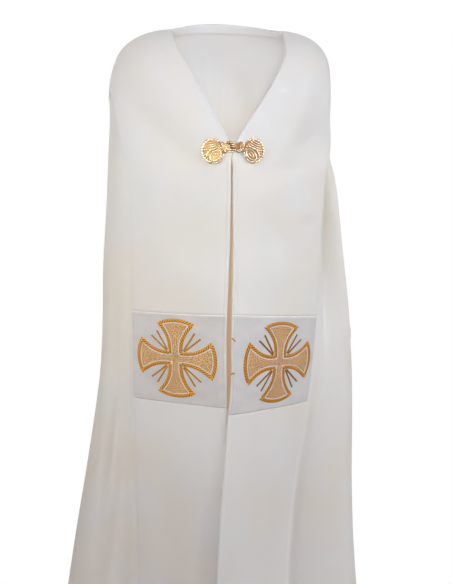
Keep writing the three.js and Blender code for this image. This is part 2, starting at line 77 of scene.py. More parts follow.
# %% Light and floor
def soft_lamp(name, place, target, size, power, colour, spread=180):
    """A square lamp: size in metres, power in watts, spread in degrees."""
    bpy.ops.object.light_add(type="AREA", location=place)
    lamp = bpy.context.object
    lamp.name, lamp.visible_camera = name, False
    lamp.rotation_euler = (Vector(target) - Vector(place)).to_track_quat("-Z", "Y").to_euler()
    lamp.data.size, lamp.data.energy, lamp.data.color = size, power, colour
    lamp.data.spread = math.radians(spread)


soft_lamp("right_lamp", (2.2, -1.2, 0.3), (0, 0, -0.4), 1.2, 27.6, (0.82, 0.88, 1.0))
soft_lamp("high_lamp", (1.25, -1.2, 1.2), (0, -0.1, -0.25), 1.2, 11.2, (0.63, 0.79, 1.0))
soft_lamp("near_lamp", (-0.45, -2.1, 0.4), (0, 0, -0.35), 0.9, 11.6, (0.80, 0.78, 1.0))
soft_lamp("left_lamp", (-1.5, -0.9, -0.1), (-0.15, 0, -0.4), 0.9, 6.4, (0.80, 0.88, 1.0))
soft_lamp("shoulder_pool", (-1.5, -0.9, 0.45), (-0.18, -0.02, -0.22), 0.5, 0.62,
          (0.92, 0.98, 1.0), 50)
soft_lamp("chest_pool", (-0.2, -2.2, 0.1), (0.01, -0.1, -0.36), 0.5, 0.31,
          (0.95, 1.0, 0.78), 30)
soft_lamp("back_lamp", (-0.6, 2.6, 1.0), (0, 0, -0.5), 1.8, 76, (0.84, 0.91, 1.0))
soft_lamp("neckline_lamp", (0.01, 0.0, -0.175), (0.02, 0.14, -0.02), 0.2, 0.098,
          (0.84, 0.91, 1.0), 130)
for z in (-0.42, -0.62, -0.82):
    soft_lamp("slit_lamp", (0.02, -0.03, z), (0.02, 0.2, z), 0.2, 0.09, (1.0, 0.69, 0.46), 130)

room = bpy.data.worlds.new("white_room")
room.use_nodes = True
bpy.context.scene.world = room
nodes, links = room.node_tree.nodes, room.node_tree.links
seen = nodes.new("ShaderNodeBackground")
seen.inputs["Strength"].default_value = 1.0
seen.inputs["Color"].default_value = (1, 1, 1, 1)
glow = nodes["Background"]
glow.inputs["Color"].default_value = (1.0, 0.78, 0.49, 1)
glow.inputs["Strength"].default_value = 0.212
choose = nodes.new("ShaderNodeMixShader")
path, share = nodes.new("ShaderNodeLightPath"), nodes.new("ShaderNodeMath")
share.operation = "MULTIPLY_ADD"
links.new(path.outputs["Is Glossy Ray"], share.inputs[0])
share.inputs[1].default_value = 0.33       # how much of the white room shows in a shine
links.new(path.outputs["Is Camera Ray"], share.inputs[2])
links.new(share.outputs[0], choose.inputs["Fac"])
links.new(glow.outputs[0], choose.inputs[1])
links.new(seen.outputs[0], choose.inputs[2])
links.new(choose.outputs[0], nodes["World Output"].inputs["Surface"])
bpy.context.scene.view_settings.view_transform = "Standard"

FLOOR_RADIUS, FLOOR_LEVEL = 0.88, -1.42
bpy.ops.mesh.primitive_circle_add(
    vertices=96, radius=FLOOR_RADIUS, fill_type="NGON", location=(0, 0, FLOOR_LEVEL))
floor = bpy.context.object
floor.name = "floor"
print("floor", round(2 * FLOOR_RADIUS, 2), "m across")

# %% [markdown]
# ## A small kit for finishes
# A finish is a Principled shader with a few nodes wired into it. `Amount` wraps one output,
# so that arithmetic on it reads as ordinary Python and adds the Math nodes by itself.
# `Finish.node` makes every other node: first its settings, then what goes into its sockets.

# %% Amount and Finish
class Amount:
    """A number that changes over a surface, for use with ordinary arithmetic."""

    def __init__(self, finish, socket):
        self.finish, self.socket = finish, socket

    def maths(self, operation, *values):
        return self.finish.node("Math", {"operation": operation}, dict(enumerate(values)))

    def __add__(self, other):
        return self.maths("ADD", self, other)

    def __sub__(self, other):
        return self.maths("SUBTRACT", self, other)

    def __rsub__(self, other):
        return self.maths("SUBTRACT", other, self)

    def __mul__(self, other):
        return self.maths("MULTIPLY", self, other)

    __radd__, __rmul__ = __add__, __mul__

    def cosine(self):
        return self.maths("COSINE", self)

    def between(self, low, high):
        """0 below low, 1 above high, and a soft step from one to the other."""
        return self.finish.node("MapRange", {"interpolation_type": "SMOOTHSTEP"},
                                {"Value": self, "From Min": low, "From Max": high})


class Finish:
    """A material for one kind of cloth, thread or metal."""

    def __init__(self, name, fixed):
        self.material = bpy.data.materials.new(name)
        self.material.use_nodes = True
        self.tree = self.material.node_tree
        self.shader = self.tree.nodes["Principled BSDF"]
        for socket, value in fixed.items():
            self.shader.inputs[socket].default_value = value

    def feed(self, socket, value):
        if isinstance(value, Amount):
            self.tree.links.new(value.socket, socket)
        else:
            socket.default_value = value

    def node(self, kind, settings, inputs, output=0):
        made = self.tree.nodes.new("ShaderNode" + kind)
        for setting, value in settings.items():
            setattr(made, setting, value)
        for socket, value in inputs.items():
            self.feed(made.inputs[socket], value)
        return Amount(self, made.outputs[output])

    def on_cloth(self):
        """How far a point lies across and down the cloth, in metres."""
        place = self.node("UVMap", {"uv_map": "cloth"}, {})
        return [self.node("SeparateXYZ", {}, {0: place}, output=axis) for axis in (0, 1)]

    def speckle(self, x, y, z=0.0, detail=2.0):
        """Soft noise, about one blob to each unit of x, y and z."""
        place = self.node("CombineXYZ", {}, {0: x, 1: y, 2: z})
        return self.node("TexNoise", {}, {"Vector": place, "Scale": 1.0, "Detail": detail})

    def in_space(self, scale, detail=2.0):
        place = self.node("TexCoord", {}, {}, output=3)
        return self.node("TexNoise", {}, {"Vector": place, "Scale": scale, "Detail": detail})

    def blend(self, factor, first, second):
        """From the first colour to the second as factor goes from 0 to 1."""
        colours = {0: factor, 6: (*first, 1), 7: (*second, 1)}
        return self.node("Mix", {"data_type": "RGBA"}, colours, output=2)

    def wear(self, colour=None, roughness=None, height=None, relief=0.0002, strength=1.0):
        """Wires the results into the shader. relief is the bump's height in metres."""
        if colour is not None:
            self.feed(self.shader.inputs["Base Color"], colour)
        if roughness is not None:
            self.feed(self.shader.inputs["Roughness"], roughness)
        if height is not None:
            self.feed(self.shader.inputs["Normal"], self.node(
                "Bump", {}, {"Height": height, "Distance": relief, "Strength": strength}))
        print("finish", self.material.name, "with", len(self.tree.nodes), "nodes")
        return self.material


def by_side(make, name, left, right):
    """One finish in two tints, because the two sides of the cloak are not quite alike; for the
    satin the two tints also hold painted light and shade.
    """
    return {side: make(f"{name}_{side}", *tints)
            for side, tints in (("left", left), ("right", right))}


pale = Finish("pale_floor", {"Roughness": 0.8})
floor.data.materials.append(pale.wear(
    colour=pale.blend(pale.in_space(3), (0.90, 0.90, 0.90), (0.93, 0.93, 0.92))))

# %% [markdown]
# ## Ivory cloth
# Mantle and bands are one plain weave, in which each thread goes over one and under the
# next. Two cosines multiplied give that chequer of high and low crossings. Thicker and
# thinner threads are noise drawn out along the warp and the weft, and a broad stain of
# warmer ivory keeps so much pale cloth from looking like plaster.

# %% Ivory cloth
def woven(name, light, warm, thread, fuzz):
    """A plain weave. light and warm are its two ivories, thread its pitch in metres."""
    cloth = Finish(name, {"Sheen Weight": fuzz, "Sheen Roughness": 0.5, "Specular IOR Level": 0.25})
    across, down = cloth.on_cloth()
    turn = math.pi / thread
    crossing = (across * turn).cosine() * (down * turn).cosine()
    slubs = cloth.speckle(across * 900, down * 40) + cloth.speckle(across * 40, down * 900)
    stain = cloth.in_space(7, detail=3.0).between(0.38, 0.66)
    dust = cloth.speckle(across * 300, down * 300)
    return cloth.wear(
        colour=cloth.blend(stain * 0.8 + dust * 0.2, light, warm),
        roughness=0.72 + 0.16 * slubs,
        height=crossing * 0.6 + slubs, relief=0.00015, strength=0.6)


MANTLE_CLOTH = woven("mantle_ivory", (0.83, 0.82, 0.80), (0.84, 0.79, 0.71), 0.0007, 0.15)
BAND_CLOTH = woven("band_ivory", (0.815, 0.81, 0.80), (0.83, 0.785, 0.725), 0.0006, 0.12)

# %% [markdown]
# ## White satin
# Satin lets its threads float over several others, so it shines, and the shine breaks up
# in fine streaks along the threads. The roughness is low and streaked. The white is a
# little warm. The two squares differ by painted light and shade: the left one is warmer,
# and the right one is painted darker and cooler for the light that falls on it.

# %% White satin
def satin(name, shade, light):
    cloth = Finish(name, {"Specular IOR Level": 0.5, "Sheen Weight": 0.1})
    across, down = cloth.on_cloth()
    floats = cloth.speckle(across * 1600, down * 90, detail=1.0)
    pull = cloth.speckle(across * 22, down * 34)
    return cloth.wear(
        colour=cloth.blend(pull.between(0.3, 0.7), shade, light),
        roughness=0.34 + 0.2 * floats,
        height=floats * 0.25 + pull * 1.6, relief=0.0004, strength=0.5)


# The right square's tints are set darker and cooler than the left's: painted shade for the light
# that falls on each square.
SATIN_WITH_PAINTED_SHADE = by_side(satin, "white_satin", [(0.635, 0.612, 0.60), (0.71, 0.68, 0.66)],
                [(0.635, 0.62, 0.617), (0.695, 0.68, 0.675)])

# %% [markdown]
# ## Threads and gilding
# The cross is worked in three threads. Its outline is a gold cord laid in slanting stitches:
# each stitch carries a number, `twist`, that says how far round the cord it lies, and the
# cord's colour follows it, with painted shade in the groove. The filling is pale gold and
# stippled, and a white line lies between. The gold threads are darker on the right square
# than on the left. The clasp is cast brass, gilded: `proud` marks what stands up on it, which
# keeps the bright gilding, and the hollows are painted in a brown shade. The flat castings
# have no such marks, so they are painted in that shade all over, which rims the relief in
# dark, and the bars of the hook have the darkest painted shade in their hollows.

# %% Threads and gilding
def gold_cord(name, dark, bright):
    thread = Finish(name, {"Metallic": 0.35, "Specular IOR Level": 0.5})
    twist = thread.node("Attribute", {"attribute_name": "twist"}, {}, output=2)
    grain = thread.in_space(700, detail=1.0)
    # The colour follows twist: painted shade in the grooves of the cord, its own gold on the
    # crowns.
    return thread.wear(
        colour=thread.blend(twist.between(0.3, 0.62) * 0.9 + grain * 0.15, dark, bright),
        roughness=0.3 + 0.25 * grain, height=grain, relief=0.0001)


def pale_gold(name, dark, bright):
    thread = Finish(name, {"Metallic": 0.25, "Specular IOR Level": 0.5})
    across, down = thread.on_cloth()
    stipple = thread.speckle(across * 530, down * 530, detail=1.0).between(0.38, 0.62)
    shade = thread.speckle(across * 40, down * 40)
    return thread.wear(
        colour=thread.blend(stipple * 0.85 + shade * 0.3, dark, bright),
        roughness=0.3 + 0.24 * stipple, height=stipple, relief=0.0004)


def spun_thread(name, colour, other):
    thread = Finish(name, {"Sheen Weight": 0.2})
    grain = thread.in_space(900, detail=1.0)
    return thread.wear(colour=thread.blend(grain, colour, other),
                       roughness=0.45 + 0.2 * grain, height=grain, relief=0.00008)


def gilt_brass(name, bright, hollow_shade):
    metal = Finish(name, {"Metallic": 1.0})
    proud = metal.node("Attribute", {"attribute_name": "proud"}, {}, output=2)
    patches = metal.in_space(160, detail=3.0)
    pits = metal.in_space(1400, detail=1.0)
    # Where proud is low the colour goes to hollow_shade: painted shade in the hollows.
    shown = proud.between(0.2, 0.8) * 0.9 + patches * 0.2 - 0.05
    return metal.wear(
        colour=metal.blend(shown, hollow_shade, bright),
        roughness=0.38 - 0.2 * proud + 0.16 * patches,
        height=pits * 0.4 + patches, relief=0.00035, strength=0.7)


GOLD_CORD = by_side(gold_cord, "gold_cord", [(0.08, 0.02, 0.001), (0.92, 0.43, 0.04)],
                    [(0.055, 0.013, 0.001), (0.80, 0.34, 0.025)])
GOLD_RAY = by_side(gold_cord, "gold_ray", [(0.14, 0.04, 0.001), (0.74, 0.33, 0.006)],
                   [(0.09, 0.026, 0.001), (0.42, 0.15, 0.003)])
PALE_GOLD = by_side(pale_gold, "pale_gold", [(0.30, 0.115, 0.02), (0.96, 0.63, 0.31)],
                    [(0.27, 0.10, 0.019), (0.88, 0.57, 0.30)])
WHITE_THREAD = spun_thread("white_thread", (0.86, 0.86, 0.88), (0.76, 0.76, 0.80))
BRIGHT_GILT = gilt_brass("bright_gilt", (0.95, 0.86, 0.57), (0.62, 0.37, 0.13))
ROSE_GILT = gilt_brass("rose_gilt", (0.98, 0.79, 0.57), (0.36, 0.18, 0.065))
# Painted shade for the flat castings: with no proud marks they take the hollow colour all over.
SHADED_GILT = gilt_brass("shaded_gilt", (0.60, 0.40, 0.2), (0.36, 0.18, 0.07))
# The hook bars' gilding is painted almost black in its hollows, as deep shade.
HOOK_SHADE_GILT = gilt_brass("hook_shade_gilt", (0.90, 0.70, 0.46), (0.05, 0.025, 0.012))

# %% [markdown]
# ## Sizes as tables
# The cloth's shape is read from tables, in millimetres, through smooth curves. A front band
# has a row for each level: where its inner edge and its outer edge run, and how far it
# swells out between them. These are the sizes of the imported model, so that every sheet
# lies where its solid does.

# %% Reading a table
MM = 0.001
SIGN = {"left": -1, "right": 1}


def columns(names, rows):
    return dict(zip(names.split(), np.array(rows, float).T))


def grids(*values):
    return np.broadcast_arrays(*(np.asarray(value, float) for value in values))


def smooth(t):
    """0 below 0, 1 above 1, and a soft step between."""
    c = np.clip(t, 0, 1)
    return c * c * (3 - 2 * c)


def bell(distance, width):
    """1 at no distance, and almost 0 two widths away."""
    return np.exp(-(distance / width) ** 2)


def curve(keys, values, at):
    """A smooth curve through (key, value) pairs whose key falls, read at any keys."""
    keys, values = np.asarray(keys, float)[::-1], np.asarray(values, float)[::-1]
    slopes = np.diff(values) / np.diff(keys)
    tangents = np.concatenate([slopes[:1], (slopes[:-1] + slopes[1:]) / 2, slopes[-1:]])
    at = np.clip(at, keys[0], keys[-1])
    i = np.clip(np.searchsorted(keys, at, side="right") - 1, 0, len(keys) - 2)
    span = keys[i + 1] - keys[i]
    t = (at - keys[i]) / span
    bend = tangents[i] * t * (1 - t) ** 2 - tangents[i + 1] * t * t * (1 - t)
    return values[i] + (values[i + 1] - values[i]) * smooth(t) + bend * span


BAND_NAMES = "inner_x inner_y inner_z outer_x outer_y outer_z bulge"
BAND = {
    "left": columns(BAND_NAMES, [
        (-88, 0, 0, -197, 0, -112, 36), (-84, -32, -28, -195, -22, -124, 30),
        (-58, -70, -84, -191, -37, -152, 20), (-7, -118, -190, -183, -52, -205, 13),
        (-4, -132, -240, -174, -66, -262, 11), (-8, -135, -376, -169, -70, -380, 9),
        (-10, -136.5, -490, -169, -72, -488, 8), (-9, -138.5, -652, -169, -74, -641, 8),
        (-9, -136, -862, -166, -76, -862, 9), (-8, -130, -1400, -168, -72, -1400, 9)]),
    "right": columns(BAND_NAMES, [
        (117, 0, 0, 200, 0, -112, 38), (114, -30, -26, 198, -20, -124, 32),
        (98, -60, -68, 196, -32, -152, 22), (10, -118, -194, 194, -44, -208, 13),
        (3, -132, -240, 181, -60, -262, 11), (2.4, -135, -377, 171, -69, -380, 9),
        (-1, -137, -490, 165, -70, -508, 8), (-6, -143, -663, 151, -66, -664, 10),
        (-27, -150, -862, 125, -53, -862, 14), (-52, -156, -1400, 100, -62, -1400, 16)]),
}
SHOULDER_Z, NAPE_Z, HEM_Z = -112, -166, -1400
BAND_WIDTH = 178      # in the tables below; the left band measures about 171 and the right 180
SQUARE = {"left": (-488, -641), "right": (-508, -664)}    # outer_z at its top and bottom
print("bands from", SHOULDER_Z, "to", HEM_Z, "mm")

# %% [markdown]
# ## The face of a band
# `share` runs across a band from its inner edge (0) to its outer edge (1). The plain face is
# a shallow arch between the two edges. Real cloth is never so even, so soft dents are laid
# on it, each with a place, a width, a length, a turn and a height, and the folded
# edges get the small roll and groove that pressing and stitching leave.

# %% Band faces
def unit(vectors):
    return vectors / np.linalg.norm(vectors, axis=-1, keepdims=True)


def dot(first, second):
    return np.sum(first * second, axis=-1, keepdims=True)


def from_middle(points):
    """The way from the middle of the figure to a point: level, save over the shoulders."""
    return np.stack([points[..., 0], points[..., 1],
                     points[..., 2] - np.minimum(points[..., 2], -150)], -1)


def facing(inner, outer):
    across = unit(outer - inner)
    out = from_middle((inner + outer) / 2)
    return unit(out - across * dot(out, across))


def across_band(inner, outer, bulge, share):
    share, swell = share[..., None], (4 * bulge * share * (1 - share))[..., None]
    return inner + (outer - inner) * share + facing(inner, outer) * swell


def band_edges(side, level):
    level = np.asarray(level, float)
    read = {name: curve(BAND[side]["outer_z"], BAND[side][name], level) for name in BAND[side]}
    inner = np.stack([read["inner_x"], read["inner_y"], read["inner_z"]], -1)
    return inner, np.stack([read["outer_x"], read["outer_y"], level], -1), read["bulge"]


def plain_band(side, share, level):
    share, level = grids(share, level)
    return across_band(*band_edges(side, level), share)


def normals_of(surface, side, share, level):
    across = surface(side, share + 0.01, level) - surface(side, share - 0.01, level)
    down = surface(side, share, level - 3) - surface(side, share, level + 3)
    normals = unit(np.cross(across, down))
    return normals * np.sign(dot(normals, from_middle(surface(side, share, level))))


def raised(surface, side, share, level, lift):
    """Points of a surface, moved out by lift along the normals of the plain band."""
    normals = normals_of(plain_band, side, share, level)
    return surface(side, share, level) + normals * np.asarray(lift)[..., None]


def dents(rows, across, along):
    """Soft hollows (-) and swells (+): across, along, width, length, turn and height."""
    total = np.zeros(np.broadcast(across, along).shape)
    for x, y, wide, tall, turn, height in rows:
        c, s = math.cos(math.radians(turn)), math.sin(math.radians(turn))
        a, b = across - x, along - y
        u, v = (a * c + b * s) / wide, (b * c - a * s) / tall
        total = total + height * np.exp(-u ** 2 - v ** 2)
    return total


BAND_DENTS = {
    "left": [
        (98, -210, 16, 19, 0, 2.0), (130, -210, 16, 19, 0, -2.0), (58, -165, 20, 70, -38, 3.6),
        (108, -190, 19, 64, -38, -6.0), (150, -215, 18, 60, -30, 2.6),
        (130, -300, 26, 90, 6, 3.0), (70, -370, 40, 40, 30, -3.6), (44, -440, 40, 44, -35, 3.4),
        (140, -455, 24, 46, 10, -1.8), (76, -655, 58, 56, 0, -5.0), (40, -760, 22, 120, 4, 2.8),
        (0, -1000, 60, 330, 0, 4.0),
        (120, -850, 24, 160, -3, -3.0), (70, -1000, 26, 210, 2, 3.0), (25, -1120, 20, 200, 3, -2.4),
        (140, -1180, 24, 220, -2, 2.8), (95, -1300, 22, 160, 2, -2.6)],
    "right": [
        (80, -166, 24, 32, 20, 4.2), (128, -202, 28, 19, 8, -4.6), (98, -250, 42, 17, 14, -4.2),
        (162, -246, 18, 22, 0, 3.6), (48, -300, 40, 30, -16, 3.4), (148, -322, 22, 11, 18, 3.0),
        (146, -340, 24, 11, 14, -2.8), (92, -372, 44, 26, -24, -3.4), (60, -420, 34, 40, 18, 2.6),
        (120, -470, 34, 40, -20, 1.6), (80, -680, 58, 56, 0, -5.0), (125, -790, 24, 100, 10, 3.0),
        (40, -900, 24, 190, 4, 3.0), (95, -1020, 24, 200, 3, -3.2), (140, -1150, 22, 200, 3, 2.6),
        (60, -1240, 22, 190, 2, -2.6), (110, -1330, 22, 120, 2, 2.2)],
}


TURN_RADIUS = 3.0                          # of the roll at a band's inner edge
# How far that edge wanders past the plain edge (+) or short of it (-), by outer_z
WANDER = {
    "left": [(-112, 2.8), (-180, 1.5), (-223, 0), (-330, 0), (-369, 0.8), (-405, 0), (-442, -0.5),
             (-478, -1.9), (-511, -3.2), (-624, -3.7), (-651, -2.9), (-669, -4), (-715, -3.2),
             (-770, -1), (-825, 0), (-1400, 0)],
    "right": [(-112, 2.4), (-180, 2.2), (-223, 2.8), (-278, 3.7), (-333, 3.3), (-405, 3.2),
              (-478, 2.2), (-551, 1.9), (-624, 2.2), (-651, 3.8), (-669, 5.5), (-715, 4.5),
              (-770, 2.8), (-825, 1.5), (-900, 0), (-1400, 0)],
}


def edge_share(side, level):
    """Where the flat face of a band starts: the roll at its inner edge lies beyond."""
    z, wander = np.array(WANDER[side], float).T
    return (TURN_RADIUS - curve(z, wander, level)) / BAND_WIDTH


def edge_roll(from_inner, from_outer):
    """The little a band's face rises at its inner edge and drops at its outer one."""
    inner = 0.3 * bell(from_inner - 1.4, 1.5) - 0.22 * bell(from_inner - 4.2, 0.8)
    return inner - 1.1 * bell(from_outer, 3.2)


GROOVE_OFF, GROOVE_WIDTH, GROOVE_DEPTH = 0.9, 1.2, 1.3     # beside a square, on the band


def band_face(side, share, level):
    """The band's outer face: dents, rolled edges, and a groove above and below the square."""
    share, level = grids(share, level)
    across = share * BAND_WIDTH
    roll = edge_roll(across - edge_share(side, level) * BAND_WIDTH, BAND_WIDTH - across)
    top, bottom = SQUARE[side]
    grooves = sum(bell(level - z, GROOVE_WIDTH) for z in (top + GROOVE_OFF, bottom - GROOVE_OFF))
    lift = dents(BAND_DENTS[side], across, level) + roll - GROOVE_DEPTH * grooves
    return raised(plain_band, side, share, level, lift)


print("dents on the bands:", {side: len(rows) for side, rows in BAND_DENTS.items()})

# %% [markdown]
# ## Turning rows of points into cloth
# A sheet starts as a grid of points on its outer face. The mesh carries a `cloth` map, which
# is how far each point lies across and down the sheet, so that the weave follows the folds.
# Solidify then gives the sheet its thickness inwards, and a small bevel turns its edges.

# %% Cloth from a grid
def only(piece):
    bpy.ops.object.select_all(action="DESELECT")
    piece.select_set(True)
    bpy.context.view_layer.objects.active = piece


def apply_modifier(piece, kind, **settings):
    only(piece)
    modifier = piece.modifiers.new(kind.lower(), kind)
    for setting, value in settings.items():
        setattr(modifier, setting, value)
    bpy.ops.object.modifier_apply(modifier=modifier.name)


def new_mesh(name, points, faces, material, cloth_map):
    """A mesh piece from points in millimetres. cloth_map holds millimetres for each point."""
    mesh = bpy.data.meshes.new(name)
    mesh.from_pydata((np.reshape(points, (-1, 3)) * MM).tolist(), [], np.asarray(faces).tolist())
    mesh.materials.append(material)
    corners = np.empty(len(mesh.loops), int)
    mesh.loops.foreach_get("vertex_index", corners)
    layer = mesh.uv_layers.new(name="cloth")
    layer.data.foreach_set("uv", (np.reshape(cloth_map, (-1, 2))[corners] * MM).ravel())
    piece = bpy.data.objects.new(name, mesh)
    bpy.context.collection.objects.link(piece)
    return piece


def store(piece, name, values):
    """Keeps a number for each point of the mesh, for its finish to read."""
    piece.data.attributes.new(name, "FLOAT", "POINT").data.foreach_set("value", values)


def settle(piece, slot, *nodes):
    """The piece belongs to the cloak: it rides on it, and stands for the nodes named."""
    only(piece)
    bpy.ops.object.shade_smooth()
    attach(piece, "root")
    if nodes:
        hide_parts(*nodes)
    print(piece.name, len(piece.data.polygons), "faces")
    return piece


def grid_faces(tall, wide):
    index = np.arange(tall * wide).reshape(tall, wide)
    quads = [index[:-1, :-1], index[:-1, 1:], index[1:, 1:], index[1:, :-1]]
    return np.stack(quads, -1).reshape(-1, 4)


def cloth_lengths(face):
    """How far each point of a grid lies across its row and down its column."""
    def run(axis):
        steps = np.linalg.norm(np.diff(face, axis=axis), axis=-1)
        return np.insert(np.cumsum(steps, axis=axis), 0, 0, axis=axis)
    return np.stack([run(1), run(0)], -1)


def sheet_area(face):
    a, b = np.diff(face, axis=0)[:, :-1], np.diff(face, axis=1)[:-1]
    return np.linalg.norm(np.cross(a, b), axis=-1).sum() * MM * MM


def cloth_piece(name, face, thickness, material):
    """A sheet whose outer face goes through a grid of points."""
    tall, wide = face.shape[:2]
    j, i = tall // 2, wide // 2
    out = np.cross(face[j, i + 1] - face[j, i - 1], face[j + 1, i] - face[j - 1, i])
    faces = grid_faces(tall, wide)
    if np.dot(out, from_middle(face[j, i])) < 0:
        faces = faces[:, ::-1]
    piece = new_mesh(name, face, faces, material, cloth_lengths(face))
    apply_modifier(piece, "SOLIDIFY", thickness=thickness * MM, offset=-1, use_even_offset=True)
    apply_modifier(piece, "BEVEL", width=thickness * 0.3 * MM, segments=2,
                   limit_method="ANGLE", angle_limit=math.radians(60))
    print(name, "sheet of", round(sheet_area(face), 3), "square metres")
    return piece

# %% [markdown]
# ## The front bands
# Each front band is a strip folded over stiffening, so it is the thickest cloth here and
# hangs almost flat. Columns of points crowd towards its two edges, where the roll and the
# groove need them, and rows crowd at the rim of the square and at the hem.

# %% Turned edge
TURNED_IN = 14                             # width of the strip behind a band's inner edge


def turned_edge(face, out):
    """The columns of a band that lie behind its first one: a roll, then a strip turned in."""
    edge, across = face[:, :1], face[:, 3:4] - face[:, :1]
    across = unit(across - out * dot(across, out))
    angles = np.linspace(np.pi, 0, 8)[:-1][None, :, None]
    roll = edge - out * TURN_RADIUS + TURN_RADIUS * (out * np.cos(angles) - across * np.sin(angles))
    strip = np.linspace(TURNED_IN, TURNED_IN / 4, 4)[None, :, None]
    back = edge - 2 * TURN_RADIUS * out + across * strip
    return np.concatenate([back, roll, face], axis=1)


def surface_normals(face):
    """Normals of a grid of points, out from the middle of the figure."""
    normals = unit(np.cross(np.gradient(face, axis=1), np.gradient(face, axis=0)))
    return normals * np.sign(np.median(dot(normals, from_middle(face))))

# %% Front bands
def crowded(low, high, step, extra):
    """Even steps from low to high, with more values added close to the ends or a seam."""
    low, high = min(low, high), max(low, high)
    extra = extra[(extra > low + 0.3) & (extra < high - 0.3)]
    even = np.linspace(low, high, int((high - low) / step) + 1)
    clear = [v for v in even[1:-1] if np.abs(extra - v).min() > 0.4]
    return np.sort(np.concatenate([[low, high], clear, extra]))


EDGE_STEPS = np.array([0.7, 1.4, 2.2, 3.0, 3.6, 4.2, 4.9, 6.0])
RIM_STEPS = np.array([-5, -3.5, -2.2, -1.1, 0, 1.1, 2.2, 3.5, 5])
HEM_STEPS = HEM_Z + np.array([2, 5, 12, 22, 27, 29, 30, 31, 33, 38])
BOTH_EDGES = np.concatenate([EDGE_STEPS, BAND_WIDTH - EDGE_STEPS])
BAND_THICKNESS, HEM_SEAM = 1.6, 30         # the hem is sewn this far up
band_steps = crowded(0, BAND_WIDTH, 6, BOTH_EDGES) / BAND_WIDTH
for side in SIGN:
    rims = np.concatenate([z + RIM_STEPS for z in SQUARE[side]])
    levels = crowded(SHOULDER_Z, HEM_Z, 9, np.concatenate([rims, HEM_STEPS]))[::-1]
    start = edge_share(side, levels)[:, None]
    shares = start + (1 - start) * band_steps[None, :]
    face = band_face(side, shares, levels[:, None])
    sewn = bell(face[..., 2] - HEM_Z - HEM_SEAM, 1.6)
    face = face - normals_of(plain_band, side, shares, levels[:, None]) * sewn[..., None] * 0.5
    out = normals_of(plain_band, side, np.full((1, 1), 0.015), levels[:, None])
    face = turned_edge(face, out)
    settle(cloth_piece(f"front_band_{side}", face, BAND_THICKNESS, BAND_CLOTH),
                         "band_cloth", f"orphrey_{side}")

# %% [markdown]
# ## The plain form of the mantle
# Without its folds the mantle is a tube with a slit in front. At each height its outline is
# a squarish oval with its own width and depth, eased on to the front seam, which runs just
# behind the outer edge of the band. `share` goes from that seam (0) to the centre back (1).

# %% Plain outline
LAP = 4.8                                  # the solid mantle lies this far behind a band's face
OUTLINE_POWER, SEAM_EASE = 2.3, 0.14
NECK = {"depth": 62, "rise": 14, "bulge": 14, "ease": 0.25}
OUTLINE = {
    "left": columns("z half_width front back", [
        (-112, 194, 112, 118), (-200, 198, 110, 124), (-390, 206, 110, 130),
        (-520, 212, 110, 136), (-620, 220, 112, 143), (-790, 242, 116, 160),
        (-960, 268, 122, 180), (-1400, 335, 135, 232)]),
    "right": columns("z half_width front back", [
        (-112, 198, 108, 118), (-200, 204, 106, 124), (-266, 214, 106, 126),
        (-390, 226, 108, 130), (-520, 240, 110, 136), (-690, 246, 112, 149),
        (-960, 252, 116, 180), (-1400, 286, 130, 232)]),
}


def seam_point(side, z, lap):
    inner, outer, _ = band_edges(side, np.minimum(z, SHOULDER_Z))
    return outer - lap * facing(inner, outer)


def outline(side, share, z, height=0.0, lap=LAP):
    share, z, height = grids(share, z, height)
    width, front, back = (curve(OUTLINE[side]["z"], OUTLINE[side][name], z)
                          for name in ("half_width", "front", "back"))

    def plain(turn):
        aside = np.abs(np.sin(turn)) / width
        along = np.abs(np.cos(turn)) / np.where(turn < np.pi / 2, front, back)
        radius = (aside ** OUTLINE_POWER + along ** OUTLINE_POWER) ** (-1 / OUTLINE_POWER)
        return np.stack([SIGN[side] * radius * np.sin(turn), -radius * np.cos(turn), z], -1)

    seam = seam_point(side, z, lap)
    start = np.arctan2(np.abs(seam[..., 0]), -seam[..., 1])
    turn = start + (np.pi - start) * share
    outward = np.stack([SIGN[side] * np.sin(turn), -np.cos(turn), 0 * turn], -1)
    to_seam = (seam - plain(start)) * (1, 1, 0) * (1 - smooth(share / SEAM_EASE))[..., None]
    return plain(turn) + to_seam + outward * height[..., None]


def mantle_top_z(share):
    return SHOULDER_Z + (NAPE_Z - SHOULDER_Z) * np.sin(np.asarray(share) * np.pi / 2)


print("half width at the hem:", [round(float(abs(outline(s, 0.4, HEM_Z)[0]))) for s in SIGN], "mm")

# %% [markdown]
# ## The neck band
# The two front bands go on over the shoulders and meet behind the neck in one shaped
# piece, seamed to them on the shoulders. Its inner edge is the neckline, and its outer edge
# lies over the top of the mantle.

# %% Neck band
def neck_band(side, share, across):
    """share goes from the shoulder seam (0) to the centre back (1)."""
    share, across = grids(share, across)
    shoulder_inner, shoulder_outer, shoulder_bulge = band_edges(side, SHOULDER_Z)
    turn = share * np.pi / 2
    inner = np.stack([shoulder_inner[0] * np.cos(turn), NECK["depth"] * np.sin(turn),
                      NECK["rise"] * np.sin(turn) ** 2], -1)

    def outer_edge(at):
        top = outline(side, at, mantle_top_z(at))
        ahead = outline(side, at + 0.01, mantle_top_z(at + 0.01))
        behind = outline(side, at - 0.01, mantle_top_z(at - 0.01))
        round_it = unit((ahead - behind) * (1, 1, 0))
        out = np.stack([round_it[..., 1], -round_it[..., 0], 0 * round_it[..., 0]], -1)
        return top + SIGN[side] * LAP * out

    to_seam = shoulder_outer - outer_edge(np.zeros(1))
    outer = outer_edge(share) + to_seam * (1 - smooth(share / NECK["ease"]))[..., None]
    bulge = shoulder_bulge + (NECK["bulge"] - shoulder_bulge) * smooth(share)
    return across_band(inner, outer, bulge, across)


def round_the_back(make, steps):
    """Columns from the left front round the back to the right front, as one grid."""
    halves = [make(side, steps if side == "left" else steps[:-1]) for side in SIGN]
    return np.concatenate([halves[0], halves[1][:, ::-1]], axis=1)


